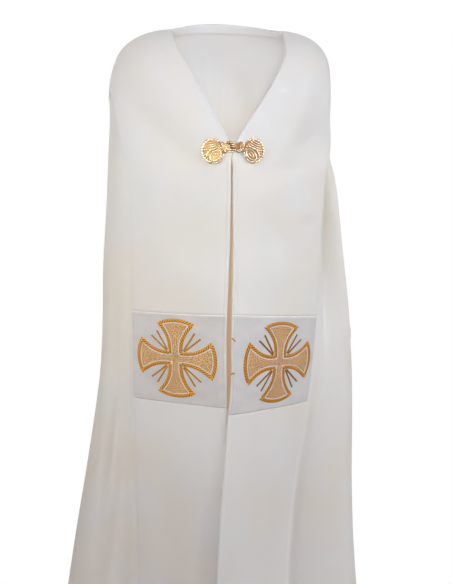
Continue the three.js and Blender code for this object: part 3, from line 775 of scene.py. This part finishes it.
NECK_DENTS = [(0.35, 60, 0.05, 50, 0, 1.4), (0.8, 90, 0.06, 60, 0, -1.4),
              (1.2, 80, 0.05, 50, 0, 1.4), (1.55, 110, 0.05, 50, 0, -1.2)]
SEAM_GAP = 0.3                             # behind each shoulder seam
start = float(edge_share("left", SHOULDER_Z))
neck_across = start + (1 - start) * band_steps[:, None]
neck_face = round_the_back(
    lambda side, steps: neck_band(side, steps[None, :], neck_across), np.linspace(0, 1, 57))
neck_face[:, 0, 1] += SEAM_GAP
neck_face[:, -1, 1] += SEAM_GAP
across = band_steps[:, None] * BAND_WIDTH
neck_lift = edge_roll(across, BAND_WIDTH - across) + dents(
    NECK_DENTS, np.linspace(0, 2, neck_face.shape[1])[None, :], across)
neck_face = neck_face + surface_normals(neck_face) * neck_lift[..., None]
NEAR_EDGE = slice(14, 15)                  # a column clear of the rolled edge
neck_face, out = (grid.swapaxes(0, 1) for grid in (neck_face, surface_normals(neck_face)))
neck_face = turned_edge(neck_face, out[:, NEAR_EDGE])
neck_piece = settle(cloth_piece("neck_band", neck_face, BAND_THICKNESS, BAND_CLOTH),
                    "band_cloth", "orphrey_neck")

# %% [markdown]
# ## The folds of the mantle
# A wide cloak on narrow shoulders falls into folds that are small above and deep at the hem.
# Each row below is a ridge (+) or a trough (-): where it starts and ends on the way round,
# and how high it stands out of the plain outline at four heights. Between the rows the
# cloth swings smoothly from one to the next. Folds give way to creases where the cloth
# strains, so a second table adds short soft dents, given one by one.

# %% Folds and creases
FOLD_LEVELS = (-170, -330, -620, -960, HEM_Z)
FOLD_NAMES = "at_top at_hem chest waist knee hem"
FOLDS = {
    "left": columns(FOLD_NAMES, [
        (0, 0, 0, 0, 0, 0),
        (0.02, 0.06, 0, 1, 5, 12), (0.05, 0.14, -1, -2, -15, -28), (0.17, 0.235, 3, 4, 9, 18),
        (0.26, 0.31, -4, -11, -20, -30), (0.33, 0.375, 4, 10, 20, 30),
        (0.415, 0.45, -6, -17, -30, -42), (0.51, 0.55, 6, 18, 33, 49),
        (0.605, 0.625, -6, -14, -24, -34), (0.715, 0.715, 7, 15, 24, 34),
        (0.81, 0.82, -6, -17, -33, -47), (0.905, 0.92, 5, 14, 26, 38), (1, 1, -5, -11, -18, -27)]),
    "right": columns(FOLD_NAMES, [
        (0, 0, 0, 0, 0, 0),
        (0.02, 0.045, 0, 0, 2, 8), (0.07, 0.11, -34, -14, -3, -18), (0.18, 0.19, 4, 4, 8, 16),
        (0.265, 0.265, -4, -9, -18, -28), (0.335, 0.335, 5, 12, 22, 33),
        (0.425, 0.425, -5, -13, -23, -33), (0.505, 0.51, 6, 15, 26, 38),
        (0.61, 0.61, -7, -18, -33, -48), (0.7, 0.72, 6, 18, 33, 50),
        (0.8, 0.815, -5, -13, -22, -32), (0.9, 0.89, 6, 14, 22, 30), (1, 1, -5, -11, -18, -27)]),
}
# share x 1000, z, width, length, turn and height of each crease
CREASES = {
    "left": [
        (120, -300, 40, 90, 8, -2.5), (200, -420, 45, 80, -6, 2.5), (90, -520, 26, 110, -10, -2.5),
        (230, -640, 40, 90, 6, -2.5), (330, -300, 40, 70, 12, 2.5), (450, -380, 40, 90, -10, 2.5),
        (560, -300, 34, 60, 14, -3), (700, -420, 34, 80, -8, 3), (820, -350, 30, 70, 6, -2.5),
        (900, -560, 34, 90, -5, 2.5), (620, -760, 34, 110, 5, 3), (760, -980, 34, 120, -4, -3),
        (480, -1100, 34, 120, 4, 3), (300, -1000, 40, 120, -5, 3), (930, -1200, 30, 110, 3, -3)],
    "right": [
        (128, -480, 26, 11, -10, 6.5), (124, -502, 26, 11, -10, -6.0), (150, -548, 22, 10, -8, 5.0),
        (146, -568, 24, 10, -8, -4.6), (180, -650, 40, 110, 4, 2.5), (90, -720, 26, 110, 5, -3),
        (320, -330, 36, 70, -10, 2.5), (430, -420, 40, 90, 8, -3), (540, -320, 34, 60, -12, 3),
        (660, -460, 34, 90, 6, -3), (780, -360, 30, 70, -6, 3), (880, -600, 34, 100, 4, -3),
        (600, -800, 34, 110, -5, 3), (740, -1020, 34, 120, 4, 3), (460, -1080, 34, 120, -4, -3),
        (290, -960, 40, 120, 5, 3), (910, -1220, 30, 110, -3, 3)],
}


# The same six numbers for the places where the mantle sinks straight back beside a band.
SINKS = {
    "left": [(62, -740, 36, 200, 12, 17), (60, -1150, 44, 260, 8, 13)],
    "right": [(78, -352, 54, 108, 4, 46), (72, -480, 44, 90, 0, 18), (13, -930, 13, 280, 0, 7),
              (22, -1270, 20, 220, -3, 9)],
}


def fold_column(side, column, z):
    """The share and the height of a column of points, where column counts folds."""
    folds, k = FOLDS[side], min(int(column), 11)
    drop = np.clip((SHOULDER_Z - z) / (SHOULDER_Z - HEM_Z), 0, 1)
    place = [folds["at_top"][i] + (folds["at_hem"][i] - folds["at_top"][i]) * drop
             for i in (k, k + 1)]
    heights = [[0] + [folds[name][i] for name in ("chest", "waist", "knee", "hem")]
               for i in (k, k + 1)]
    low, high = (curve(FOLD_LEVELS, values, z) for values in heights)
    t = column - k
    return place[0] + (place[1] - place[0]) * t, low + (high - low) * smooth(t)


print("folds:", {side: len(rows["hem"]) - 1 for side, rows in FOLDS.items()})

# %% [markdown]
# ## The mantle
# The mantle is one sheet: it starts at the neckline under the neck band, goes over the
# shoulders and hangs to the hem. Its front edges are carried a little way under the front
# bands, as a seam is, and a shallow groove 30 mm up is where the hem is sewn.

# %% Mantle
SEWN_LAP = 2.8                 # a band's thickness and a little: the seam closes the gap
COVERED_FROM, FOLD_STEPS = 0.045, 11
ABOVE_HEM = np.array([34, 32, 31, 30, 29, 28, 24, 16, 8, 3, 0])
fold_steps = np.linspace(0, 12, 12 * FOLD_STEPS + 1)


def covered_rows(side, steps):
    """The part under the neck band, from the neckline out."""
    shares = np.array([fold_column(side, step, np.array(SHOULDER_Z, float))[0] for step in steps])
    across = np.linspace(0, 1, 13)[:-1, None]
    return neck_band(side, COVERED_FROM + (1 - COVERED_FROM) * shares[None, :], across)


def hanging_rows(side, steps):
    rows = np.linspace(0, 1, 108) ** 1.15
    made = []
    for step in steps:
        top_share, _ = fold_column(side, step, np.array(SHOULDER_Z, float))
        top, hem = mantle_top_z(top_share), HEM_Z + 10 * math.sin(step / 12 * math.pi) ** 2
        z = np.concatenate([top + (hem + 40 - top) * rows, hem + ABOVE_HEM])
        share, height = fold_column(side, step, z)
        height = height + dents(CREASES[side], share * 1000, z) * smooth(share / 0.06)
        height = height - 0.7 * bell(z - hem - HEM_SEAM, 1.6)
        tucked = 2 * bell(z - SHOULDER_Z, 30) * (1 - 2 * smooth(share / 0.1))
        points = outline(side, share, z, height - tucked, lap=SEWN_LAP)
        points[:, 1] += dents(SINKS[side], share * 1000, z) * smooth(share / 0.014)
        made.append(points)
    return np.stack(made, axis=1)


covered = round_the_back(covered_rows, fold_steps)
round_it = np.arange(covered.shape[1])
# Soft upright ripples, growing from the neckline out to where the cloth starts to hang
ripple = (1 - np.cos(np.linspace(0, 2, covered.shape[1]) * np.pi * 11)) * 1.6
under = np.linspace(0, 1, len(covered))[:, None]
depth = LAP - 2 * under + ripple[None, :] * smooth(under * 1.3 - 0.1)
depth = depth + 2 * bell(np.minimum(round_it, round_it[::-1]), 6.0)
covered = covered - surface_normals(covered) * depth[..., None]
hanging = round_the_back(hanging_rows, fold_steps)
mantle_face = np.concatenate([covered, hanging])

# %% Seam allowance
ALLOWANCE = 12                             # width of the strip sewn in behind each band


def under_band(side, z):
    """The mantle's edge, behind the band's outer edge and a little in from it."""
    z = np.minimum(z, SHOULDER_Z)
    inner, outer, _ = band_edges(side, z)
    return plain_band(side, 1 - ALLOWANCE / BAND_WIDTH, z) - SEWN_LAP * facing(inner, outer)


allowances = []
for side, edge, beside in (("left", 0, 1), ("right", -1, -2)):
    column = mantle_face[:, edge] + unit(mantle_face[:, edge] - mantle_face[:, beside]) * 2
    column[len(covered):] = under_band(side, mantle_face[len(covered):, edge, 2])
    allowances.append(column[:, None])
mantle_face = np.concatenate([allowances[0], mantle_face, allowances[1]], axis=1)
mantle = settle(cloth_piece("mantle_cloth", mantle_face, 0.9, MANTLE_CLOTH),
                "mantle_cloth", "mantle")

# %% [markdown]
# ## The satin squares
# Each square is cut to the band's width and sewn down on it, with its raw edges turned
# under. It follows the band's face a millimetre above it and sinks a little at its rim,
# where the stitches hold it. The band's own groove makes the dark line above and below it.

# %% Satin squares
def satin_edge(side, level):
    return edge_share(side, level) - 0.6 / BAND_WIDTH


def satin_face(side, share, level):
    share, level = grids(share, level)
    across, inside = share * BAND_WIDTH, (share - satin_edge(side, level)) * BAND_WIDTH
    top, bottom = SQUARE[side]
    rim = np.minimum.reduce([inside, BAND_WIDTH - across, top - level, level - bottom])
    return raised(band_face, side, share, level, 1.15 - 0.3 * bell(np.maximum(rim, 0), 0.9))


for side in SIGN:
    top, bottom = SQUARE[side]
    steps = crowded(0, BAND_WIDTH - 0.4, 3, BOTH_EDGES) / BAND_WIDTH
    levels = crowded(top, bottom, 3, np.concatenate([top - EDGE_STEPS, bottom + EDGE_STEPS]))[::-1]
    start = satin_edge(side, levels)[:, None]
    face = satin_face(side, start + (1 - start) * steps[None, :], levels[:, None])
    settle(cloth_piece(f"satin_{side}", face, 0.7, SATIN_WITH_PAINTED_SHADE[side]),
                                 "satin", f"satin_square_{side}")

# %% [markdown]
# ## Where the embroidery lies
# The cross is drawn flat, in millimetres from its middle, and then laid on the satin.
# `EMBROIDERY` says where its middle is on each square, how far each arm reaches and how
# wide the arms spread, because no two are stitched quite alike.

# %% Laying a flat drawing on the satin
EMBROIDERY = {
    "left": {"share": 0.538, "level": -562.8, "along": 1.033, "lean": 0.001, "tilt": -0.019,
             "spread": 32, "arms": {"left": 68.7, "right": 72.6, "up": 69.2, "down": 69.5}},
    "right": {"share": 0.531, "level": -585.3, "along": 1.051, "lean": 0.029, "tilt": 0.0,
              "spread": 35, "arms": {"left": 71.7, "right": 70.9, "up": 71.8, "down": 71.7}},
}
REACH = 71                       # of the drawn cross, before its arms are fitted
DRAWN_WIDTH = 171.5              # millimetres of the drawing to a whole band's width
RIM_CENTRE, RIM_RADIUS = 3.7, 64.3    # of the arc that ends an arm
NARROW, NARROW_Y, TIP_Y = 9.5, 18, 61.3    # half an arm where it is narrowest, and its tip


def on_square(side, x, y, lift):
    """Points of a flat drawing, x to the right and y up, raised by lift off the satin."""
    work = EMBROIDERY[side]
    arms = work["arms"]
    x = x * np.where(x > 0, arms["right"], arms["left"]) / REACH
    y = y * np.where(y > 0, arms["up"], arms["down"]) / REACH
    share = work["share"] + SIGN[side] * (x + work["lean"] * y) / DRAWN_WIDTH
    level = work["level"] + (y + work["tilt"] * x) / work["along"]
    return raised(satin_face, side, share, level, lift)


def arm_side(spread, inset):
    """One side of the upward arm, from the inner corner to the tip, moved in by inset."""
    widens, rises = spread - 3.4 - NARROW, TIP_Y - NARROW_Y
    y = np.linspace(4, 70, 400)
    grown = np.clip((y - NARROW_Y) / rises, 0, None)
    width, slope = NARROW + widens * grown ** 2, 2 * widens * grown / rises
    steep = np.sqrt(1 + slope ** 2)
    x, y = width - inset / steep, y + inset * slope / steep
    keep = (y >= x) & (np.hypot(x, y - RIM_CENTRE) <= RIM_RADIUS - inset)
    return np.stack([x[keep], y[keep]], -1)


def end_arc(spread, inset, steps=40):
    tip = arm_side(spread, inset)[-1]
    x = np.linspace(-tip[0], tip[0], steps)
    return np.stack([x, RIM_CENTRE + np.sqrt((RIM_RADIUS - inset) ** 2 - x ** 2)], -1)


def inner_curve(spread, inset):
    """From the tip of the upward arm in to the corner and out to the tip of the right arm."""
    side_points = arm_side(spread, inset)
    corner = side_points[0]
    far = side_points[side_points[:, 1] > corner[1] + 4]
    t = np.linspace(0, 1, 9)[:, None]
    start, end = far[0], far[0][::-1]
    fillet = start * (1 - t) ** 2 + corner * 2 * t * (1 - t) + end * t ** 2
    return np.concatenate([far[::-1], fillet[1:-1], far[:, ::-1]])


def quarter_turns(path):
    """A path and its copies turned by a quarter, a half and three quarters."""
    turns = [np.array([[c, s], [-s, c]]) for c, s in ((1, 0), (0, 1), (-1, 0), (0, -1))]
    return [path @ turn for turn in turns]


print("arm side from", arm_side(32, 0)[0].round(1), "to", arm_side(32, 0)[-1].round(1))

# %% [markdown]
# ## Stitches
# A gold outline is made of hundreds of short threads laid side by side across it, each a
# low slanting arch that dives into the satin at both ends. One arch is only ten faces, and
# the list of places where the needle goes does the rest.

# %% A row of slanting stitches
def spaced(path, pitch, extend=0.0):
    """Even steps along a path: points, directions and distances, run on past its ends."""
    path = np.asarray(path, float)
    if extend:
        first, last = unit(path[0] - path[1]) * extend, unit(path[-1] - path[-2]) * extend
        path = np.concatenate([[path[0] + first], path, [path[-1] + last]])
    steps = np.linalg.norm(np.diff(path, axis=0), axis=-1)
    far = np.insert(np.cumsum(steps), 0, 0)
    at = np.linspace(0, far[-1], max(2, int(far[-1] / pitch)))
    points = np.stack([np.interp(at, far, path[:, axis]) for axis in (0, 1)], -1)
    return points, unit(np.gradient(points, axis=0)), at


def joined(parts):
    """One piece of work out of several, each with flat points, lifts, faces and twists."""
    spots, lifts, faces, twists = zip(*parts)
    starts = np.cumsum([0] + [len(points) for points in spots[:-1]])
    faces = [quads + start for quads, start in zip(faces, starts)]
    return [np.concatenate(values) for values in (spots, lifts, faces, twists)]


def stitch_rows(paths, pitch, half, slant, height, thread, twist_length, extend=0.0):
    """Arched threads across each path."""
    parts, arch = [], grid_faces(6, 3)[:, ::-1]
    u = np.linspace(-1, 1, 6)[None, :, None]
    j = np.array([-1, 0, 1])[None, None, :]
    for path in paths:
        points, along, at = spaced(path, pitch, extend)
        aside = np.stack([-along[:, 1], along[:, 0]], -1)
        course = aside * half + along * slant
        side = unit(np.stack([-course[:, 1], course[:, 0]], -1)) * thread / 2
        spot = (points[:, None, None] + course[:, None, None] * u[..., None]
                + side[:, None, None] * j[..., None])
        phase = (at / twist_length)[:, None, None]
        rope = 0.72 + 0.28 * np.cos(2 * np.pi * phase)
        lift = height * np.maximum(1 - u ** 4, 0) * rope + 0.2 * (j == 0) * (u * u < 1) + 0.02
        # twist is 1 on the crown of the cord and 0 in its groove, where the cord's finish paints
        # shade.
        twist = 0.5 + 0.5 * np.cos(2 * np.pi * phase)
        lift, twist = (np.broadcast_to(value, spot.shape[:-1]).ravel() for value in (lift, twist))
        faces = (arch[None] + 18 * np.arange(len(points))[:, None, None]).reshape(-1, 4)
        parts.append((spot.reshape(-1, 2), lift, faces, twist))
    return joined(parts)


def embroidered(name, side, work, material):
    spots, lifts, faces, twists = work
    points = on_square(side, spots[:, 0], spots[:, 1], lifts)
    piece = new_mesh(name, points, faces, material, spots)
    store(piece, "twist", twists)
    return settle(piece, "satin")

# %% [markdown]
# ## The crosses
# First the pale filling, a slightly raised field that stops short of the outline, then the
# white line round it, then the gold cord, and last the rays that spread from the corners.

# %% Pale filling
def filling(spread, inset):
    """A grid for each arm of the cross and one for its middle."""
    side_points = arm_side(spread, inset)
    corner, tip = side_points[0], side_points[-1]
    t, r = np.linspace(-1, 1, 17)[None, :], np.linspace(0, 1, 41)[:, None]
    y = corner[1] + (tip[1] - corner[1]) * r
    x = t * np.interp(y, side_points[:, 1], side_points[:, 0])
    end = RIM_CENTRE + np.sqrt((RIM_RADIUS - inset) ** 2 - (t * tip[0]) ** 2) - tip[1]
    rim = np.minimum((1 - np.abs(t)) * 9, (1 - r) * 34)
    arm = np.stack([x, y + end * r ** 3], -1).reshape(-1, 2)
    lift = (0.12 + 0.4 * smooth(rim)).ravel()
    middle = np.stack(np.meshgrid(t[0] * corner[0], t[0] * corner[0]), -1).reshape(-1, 2)
    centred = 1 - np.abs(middle / corner[0]).min(axis=1)
    parts = [(points, lift, grid_faces(41, 17)[:, ::-1], 0 * lift) for points in quarter_turns(arm)]
    lift = 0.12 + 0.4 * smooth(centred * 9)
    return joined(parts + [(middle, lift, grid_faces(17, 17), 0 * lift)])


for side in SIGN:
    spread = EMBROIDERY[side]["spread"]
    fill = embroidered(f"cross_filling_{side}", side, filling(spread, 4.1), PALE_GOLD[side])
    apply_modifier(fill, "WELD", merge_threshold=0.00005)
    apply_modifier(fill, "SOLIDIFY", thickness=0.0003, offset=-1)

# %% Gold outline, white line and rays
def laid_line(paths, half, height):
    """A narrow rounded cord laid flat along each path."""
    profile = np.array([(-1, 0), (-0.7, 0.8), (0, 1), (0.7, 0.8), (1, 0)])
    parts = []
    for path in paths:
        points, along, _ = spaced(path, 0.9)
        aside = np.stack([-along[:, 1], along[:, 0]], -1)
        spot = points[:, None] + aside[:, None] * (profile[:, 0] * half)[None, :, None]
        lift = np.tile(profile[:, 1] * height + 0.03, len(points))
        parts.append((spot.reshape(-1, 2), lift, grid_faces(len(points), 5)[:, ::-1],
                      np.ones(len(lift))))
    return joined(parts)


RAYS = [np.array([(14.6, 15.1), (33.8, 47.4)]), np.array([(15.9, 13.7), (43.8, 38.0)])]
MIRRORED = np.array([(1, 1), (-1, 1), (1, -1), (-1, -1)])
for side in SIGN:
    spread = EMBROIDERY[side]["spread"]
    corners = quarter_turns(inner_curve(spread, 0))
    ends = quarter_turns(end_arc(spread, 0))
    cord = stitch_rows(corners + ends, 0.5, 3.35, 2.8, 1.2, 0.64, 4.8, extend=1.5)
    embroidered(f"cross_outline_{side}", side, cord, GOLD_CORD[side])
    lines = quarter_turns(inner_curve(spread, 3.55)) + quarter_turns(end_arc(spread, 3.55))
    embroidered(f"cross_white_line_{side}", side, laid_line(lines, 0.85, 0.9), WHITE_THREAD)
    rays = [ray * mirror for ray in RAYS for mirror in MIRRORED]
    embroidered(f"cross_rays_{side}", side,
                stitch_rows(rays, 0.5, 1.6, 0.4, 0.8, 0.62, 3.4), GOLD_RAY[side])

# %% [markdown]
# ## The clasp
# A cope clasp is cast in two halves and gilded: a scalloped leaf, a trefoil, and on one side
# an eye, on the other a hook. The flat castings of the imported model stay and get their
# metal, and what a flat model leaves out is the relief. It is built up as a modeller in wax
# would do it: low domes for the lobes, rolled wires for the flutes and scrolls, all joined,
# and then melted together with a fine voxel remesh, so that every junction is soft.

# %% Metal for the flat castings
# The flat castings carry no proud marks, so their finish paints them all over in its hollow shade,
# a dark rim round the relief.
for node in ("clasp_eye_half", "clasp_hook_half"):
    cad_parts[node].data.materials.clear()
    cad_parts[node].data.materials.append(SHADED_GILT)

# %% A frame on a band
CLASP_Z, CLASP_LIFT, LEAF_SHARE, LEAF_DROP, TREFOIL_X = -203, 0.8, 0.165, 7, 14
CLASP_METAL = {"left": BRIGHT_GILT, "right": ROSE_GILT}


def frame_on_band(side, share, z):
    """Where a casting lies on a band: X to the right, Y up the cloth and Z out of it."""
    level = float(z)
    for _ in range(8):
        level += float(z - plain_band(side, share, level)[2])
    up = plain_band(side, share, level + 5) - plain_band(side, share, level - 5)
    right = plain_band(side, share + 0.02, level) - plain_band(side, share - 0.02, level)
    right = right * SIGN[side]
    out = unit(np.cross(right, up))
    x = unit(np.cross(up, out))
    spot = (plain_band(side, share, level) + out * CLASP_LIFT) * MM
    axes = np.column_stack([x, np.cross(out, x), out, spot])
    return Matrix([*axes.tolist(), [0, 0, 0, 1]])


# %% Domes and wires
def dome(x, y, z, wide, tall, high, turn=0.0):
    """A low dome in millimetres; wide, tall and high are its half sizes."""
    bpy.ops.mesh.primitive_uv_sphere_add(
        segments=20, ring_count=12, radius=MM, location=(x * MM, y * MM, z * MM),
        rotation=(0, 0, math.radians(turn)), scale=(wide, tall, high))
    return bpy.context.object


def wire(points, radius, taper=0.35):
    """A rolled wire through points in millimetres, thinner towards both ends."""
    points = np.asarray(points, float)
    bpy.ops.curve.primitive_nurbs_path_add()
    made = bpy.context.object
    spline = made.data.splines[0]
    spline.points.add(len(points) - len(spline.points))
    for knot, spot, t in zip(spline.points, points, np.linspace(0, 1, len(points))):
        knot.co = (*(spot * MM), 1)
        knot.radius = taper + (1 - taper) * math.sin(math.pi * t) ** 0.5
    spline.order_u, spline.use_endpoint_u = 3, True
    made.data.bevel_depth, made.data.bevel_resolution = radius * MM, 3
    made.data.use_fill_caps = True
    only(made)
    bpy.ops.object.convert(target="MESH")
    return bpy.context.object


def scroll(x, y, z, wide, tall, radius, lean=0):
    """A wire bent into an oval ring round (x, y), turned by lean in degrees."""
    angle = np.linspace(0, 1, 18) * 2 * math.pi
    aside, along = wide * np.cos(angle), tall * np.sin(angle)
    c, s = math.cos(math.radians(lean)), math.sin(math.radians(lean))
    spots = [x + aside * c - along * s, y + aside * s + along * c, z + 0 * angle]
    return wire(np.stack(spots, -1), radius)


def arc(x0, y0, x1, y1, rise, z, radius):
    """A wire from one point to another that swells sideways by rise."""
    t = np.linspace(0, 1, 9)
    bow = 4 * rise * t * (1 - t)
    along = unit(np.array([x1 - x0, y1 - y0]))
    spots = [x0 + (x1 - x0) * t - along[1] * bow, y0 + (y1 - y0) * t + along[0] * bow,
             z + 0.5 * np.sin(math.pi * t)]
    return wire(np.stack(spots, -1), radius)


def mark_proud(piece, cell=0.5, reach=4):
    """Stores 1 where a casting stands above the metal round it and 0 in its hollows, which the
    finish paints in shade.
    """
    spots = np.array([vertex.co for vertex in piece.data.vertices]) / MM
    at = ((spots[:, :2] - spots[:, :2].min(axis=0)) / cell).astype(int) + reach
    top = np.zeros(at.max(axis=0) + reach + 1)
    np.maximum.at(top, tuple(at.T), spots[:, 2])
    near = range(-reach, reach + 1)
    around = sum(np.roll(top, (i, j), (0, 1)) for i in near for j in near) / len(near) ** 2
    store(piece, "proud", smooth((spots[:, 2] - around[tuple(at.T)] + 0.15) / 0.5))


def melted(name, parts, place, metal, mirrored=False, voxel=0.3, slot="gilt_brass"):
    """Joins the parts into one casting, laid in its place on the band."""
    bpy.ops.object.select_all(action="DESELECT")
    for part in parts:
        part.select_set(True)
    bpy.context.view_layer.objects.active = parts[0]
    bpy.ops.object.join()
    piece = bpy.context.object
    piece.name = piece.data.name = name
    bpy.ops.object.transform_apply(location=True, rotation=True, scale=True)
    if mirrored:
        piece.scale = (-1, 1, 1)
        bpy.ops.object.transform_apply(location=False, rotation=False, scale=True)
        bpy.ops.object.mode_set(mode="EDIT")
        bpy.ops.mesh.select_all(action="SELECT")
        bpy.ops.mesh.normals_make_consistent(inside=False)
        bpy.ops.object.mode_set(mode="OBJECT")
    apply_modifier(piece, "REMESH", mode="VOXEL", voxel_size=voxel * MM)
    apply_modifier(piece, "SMOOTH", factor=0.5, iterations=1)
    mark_proud(piece)
    piece.matrix_world = place
    bpy.ops.object.transform_apply(location=True, rotation=True, scale=True)
    piece.data.materials.clear()
    piece.data.materials.append(metal)
    return settle(piece, slot)

# %% Leaf relief
def leaf_parts():
    """The left leaf from its middle, in millimetres: X right, Y up, Z out."""
    parts = [dome(-0.5, 9.5, 1.4, 14.5, 10.5, 1.5, 12), dome(3.0, -9.0, 1.4, 13.0, 11.5, 1.6, -8),
             dome(-8.5, -1.5, 1.3, 8.5, 9.0, 1.3), dome(12.0, 2.5, 1.3, 5.5, 8.0, 1.2)]
    rim = [(-14.6, 10.2), (-16.4, 5.6), (-17.0, 0.6), (-16.6, -4.4), (-15.2, -9.2), (-12.2, -13.6),
           (-8.2, -16.8), (-11.6, 14.6), (-7.2, 17.8), (-2.2, 19.6), (3.0, 19.9), (8.0, 18.4),
           (12.4, 15.4)]
    parts += [dome(x, y, 1.9, 2.5, 2.9, 1.3, math.degrees(math.atan2(y, x))) for x, y in rim]
    parts += [arc(-10.8 + 0.8 * k, 3.6 + 4.0 * k, 13.4 - 1.4 * k, 5.0 + 3.9 * k, -2.2,
                  3.3 - 0.2 * k, 1.15) for k in range(4)]
    parts += [scroll(3.2, -9.4, 3.2, 11.0, 7.6, 1.3, 32), scroll(3.6, -9.6, 3.7, 5.2, 2.6, 1.1, 32),
              arc(-12.6, -8.6, 12.0, 1.9, 5.8, 3.2, 1.25),
              arc(-6.0, -18.6, 10.5, -18.4, -3.0, 2.6, 1.2),
              arc(13.6, -14.4, 16.6, -7.0, -1.2, 2.6, 1.1)]
    beads = [(-12.6, 4.6), (-13.2, 0.2), (-9.0, -0.8), (-13.0, -4.4), (-10.4, -11.6), (-6.4, -15.0),
             (12.8, 6.4), (14.6, 1.6), (15.0, -3.4)]
    return parts + [dome(x, y, 2.9, 1.6, 1.6, 1.3) for x, y in beads]


def leaf_frame(side):
    return frame_on_band(side, LEAF_SHARE, CLASP_Z - LEAF_DROP)


for side, metal in CLASP_METAL.items():
    melted(f"clasp_relief_{side}", leaf_parts(), leaf_frame(side), metal, side == "right")

# %% Trefoils, eye ring and hook bars
def trefoil_parts():
    parts = [dome(0, 0, 2.2, 6.0, 8.6, 1.2)]
    for x, y in ((-0.6, 5.4), (1.4, -6.0), (5.0, -0.4)):
        parts += [dome(x, y, 2.0, 4.0, 4.2, 1.0), scroll(x, y, 3.2, 3.1, 3.2, 0.9),
                  dome(x, y, 3.2, 1.0, 1.0, 1.0)]
    return parts


def trefoil_frame(side):
    place = frame_on_band(side, 0.02, CLASP_Z)
    shift = SIGN[side] * TREFOIL_X * MM - place.translation.x
    return place @ Matrix.Translation((shift, 0, 0))


for side, metal in CLASP_METAL.items():
    melted(f"clasp_trefoil_{side}", trefoil_parts(), trefoil_frame(side), metal, side == "right")

centre, other = (frame_on_band(side, 0.02, CLASP_Z) for side in SIGN)
centre.translation.x = 0
centre.translation.y = (centre.translation.y + other.translation.y) / 2
ring = [scroll(-2.6, 0, 2.4, 8.2, 9.4, 1.25), dome(-3.6, 9.0, 2.4, 3.4, 1.9, 1.5),
        dome(-3.6, -9.0, 2.4, 3.4, 1.9, 1.5)]
melted("clasp_eye_ring", ring, centre, BRIGHT_GILT)
bars = [dome(-1.2, -0.4, 2.6, 9.4, 7.6, 1.4, -12)] + [
    arc(-8.2 + 1.6 * k, 7.6 - 3.8 * k, 6.4 + 0.6 * k, 1.6 - 3.4 * k, 0.8, 4.9, 0.9)
    for k in range(3)]
melted("clasp_hook_bars", bars, centre, HOOK_SHADE_GILT)

# %% [markdown]
# ## Loose threads
# The clasp is sewn on with a few turns of white thread at the tips of its leaves, and two
# ends of gold thread stick out at the edge of the right square. They are wires too, with
# little or no taper.

# %% Threads
SEWN_AT = {"left": [(12.9, -14.0), (-17.6, -2.2), (4.4, 20.4)],
           "right": [(-12.7, -15.3), (18.6, -4.6), (-7.0, 19.4)]}
for side, spots in SEWN_AT.items():
    turns = []
    for x, y in spots:
        way = unit(np.array([x, y]))
        aside = np.array([-way[1], way[0]])
        for shift in (-0.9, 0.0, 0.9):
            path = [(*(np.array([x, y]) + way * reach + aside * shift), z)
                    for reach, z in ((-3.2, 2.0), (-2.0, 3.6), (-0.4, 3.8), (1.2, 2.4), (2.4, 0.2))]
            turns.append(wire(path, 0.42, taper=1.0))
    melted(f"clasp_threads_{side}", turns, leaf_frame(side), WHITE_THREAD, voxel=0.25, slot="satin")

THREAD_ENDS = [[(-0.020, -544.5), (-0.008, -545.5), (0.006, -548), (0.018, -550)],
               [(-0.024, -600.5), (-0.010, -598.6), (0.004, -598.4), (0.015, -599.6)]]
ends = []
for marks in THREAD_ENDS:
    marks = np.array(marks)
    t = np.linspace(0, 1, 9)
    share, level = (np.interp(t, np.linspace(0, 1, 4), marks[:, axis]) for axis in (0, 1))
    lift = 1.9 + 0.5 * np.sin(np.pi * t)
    ends.append(wire(raised(plain_band, "right", share, level, lift), 1.35, taper=0.85))
thread_ends = melted("gold_thread_ends", ends, Matrix.Identity(4), GOLD_CORD["left"],
                     voxel=0.25, slot="satin")
store(thread_ends, "twist", np.full(len(thread_ends.data.vertices), 0.46))
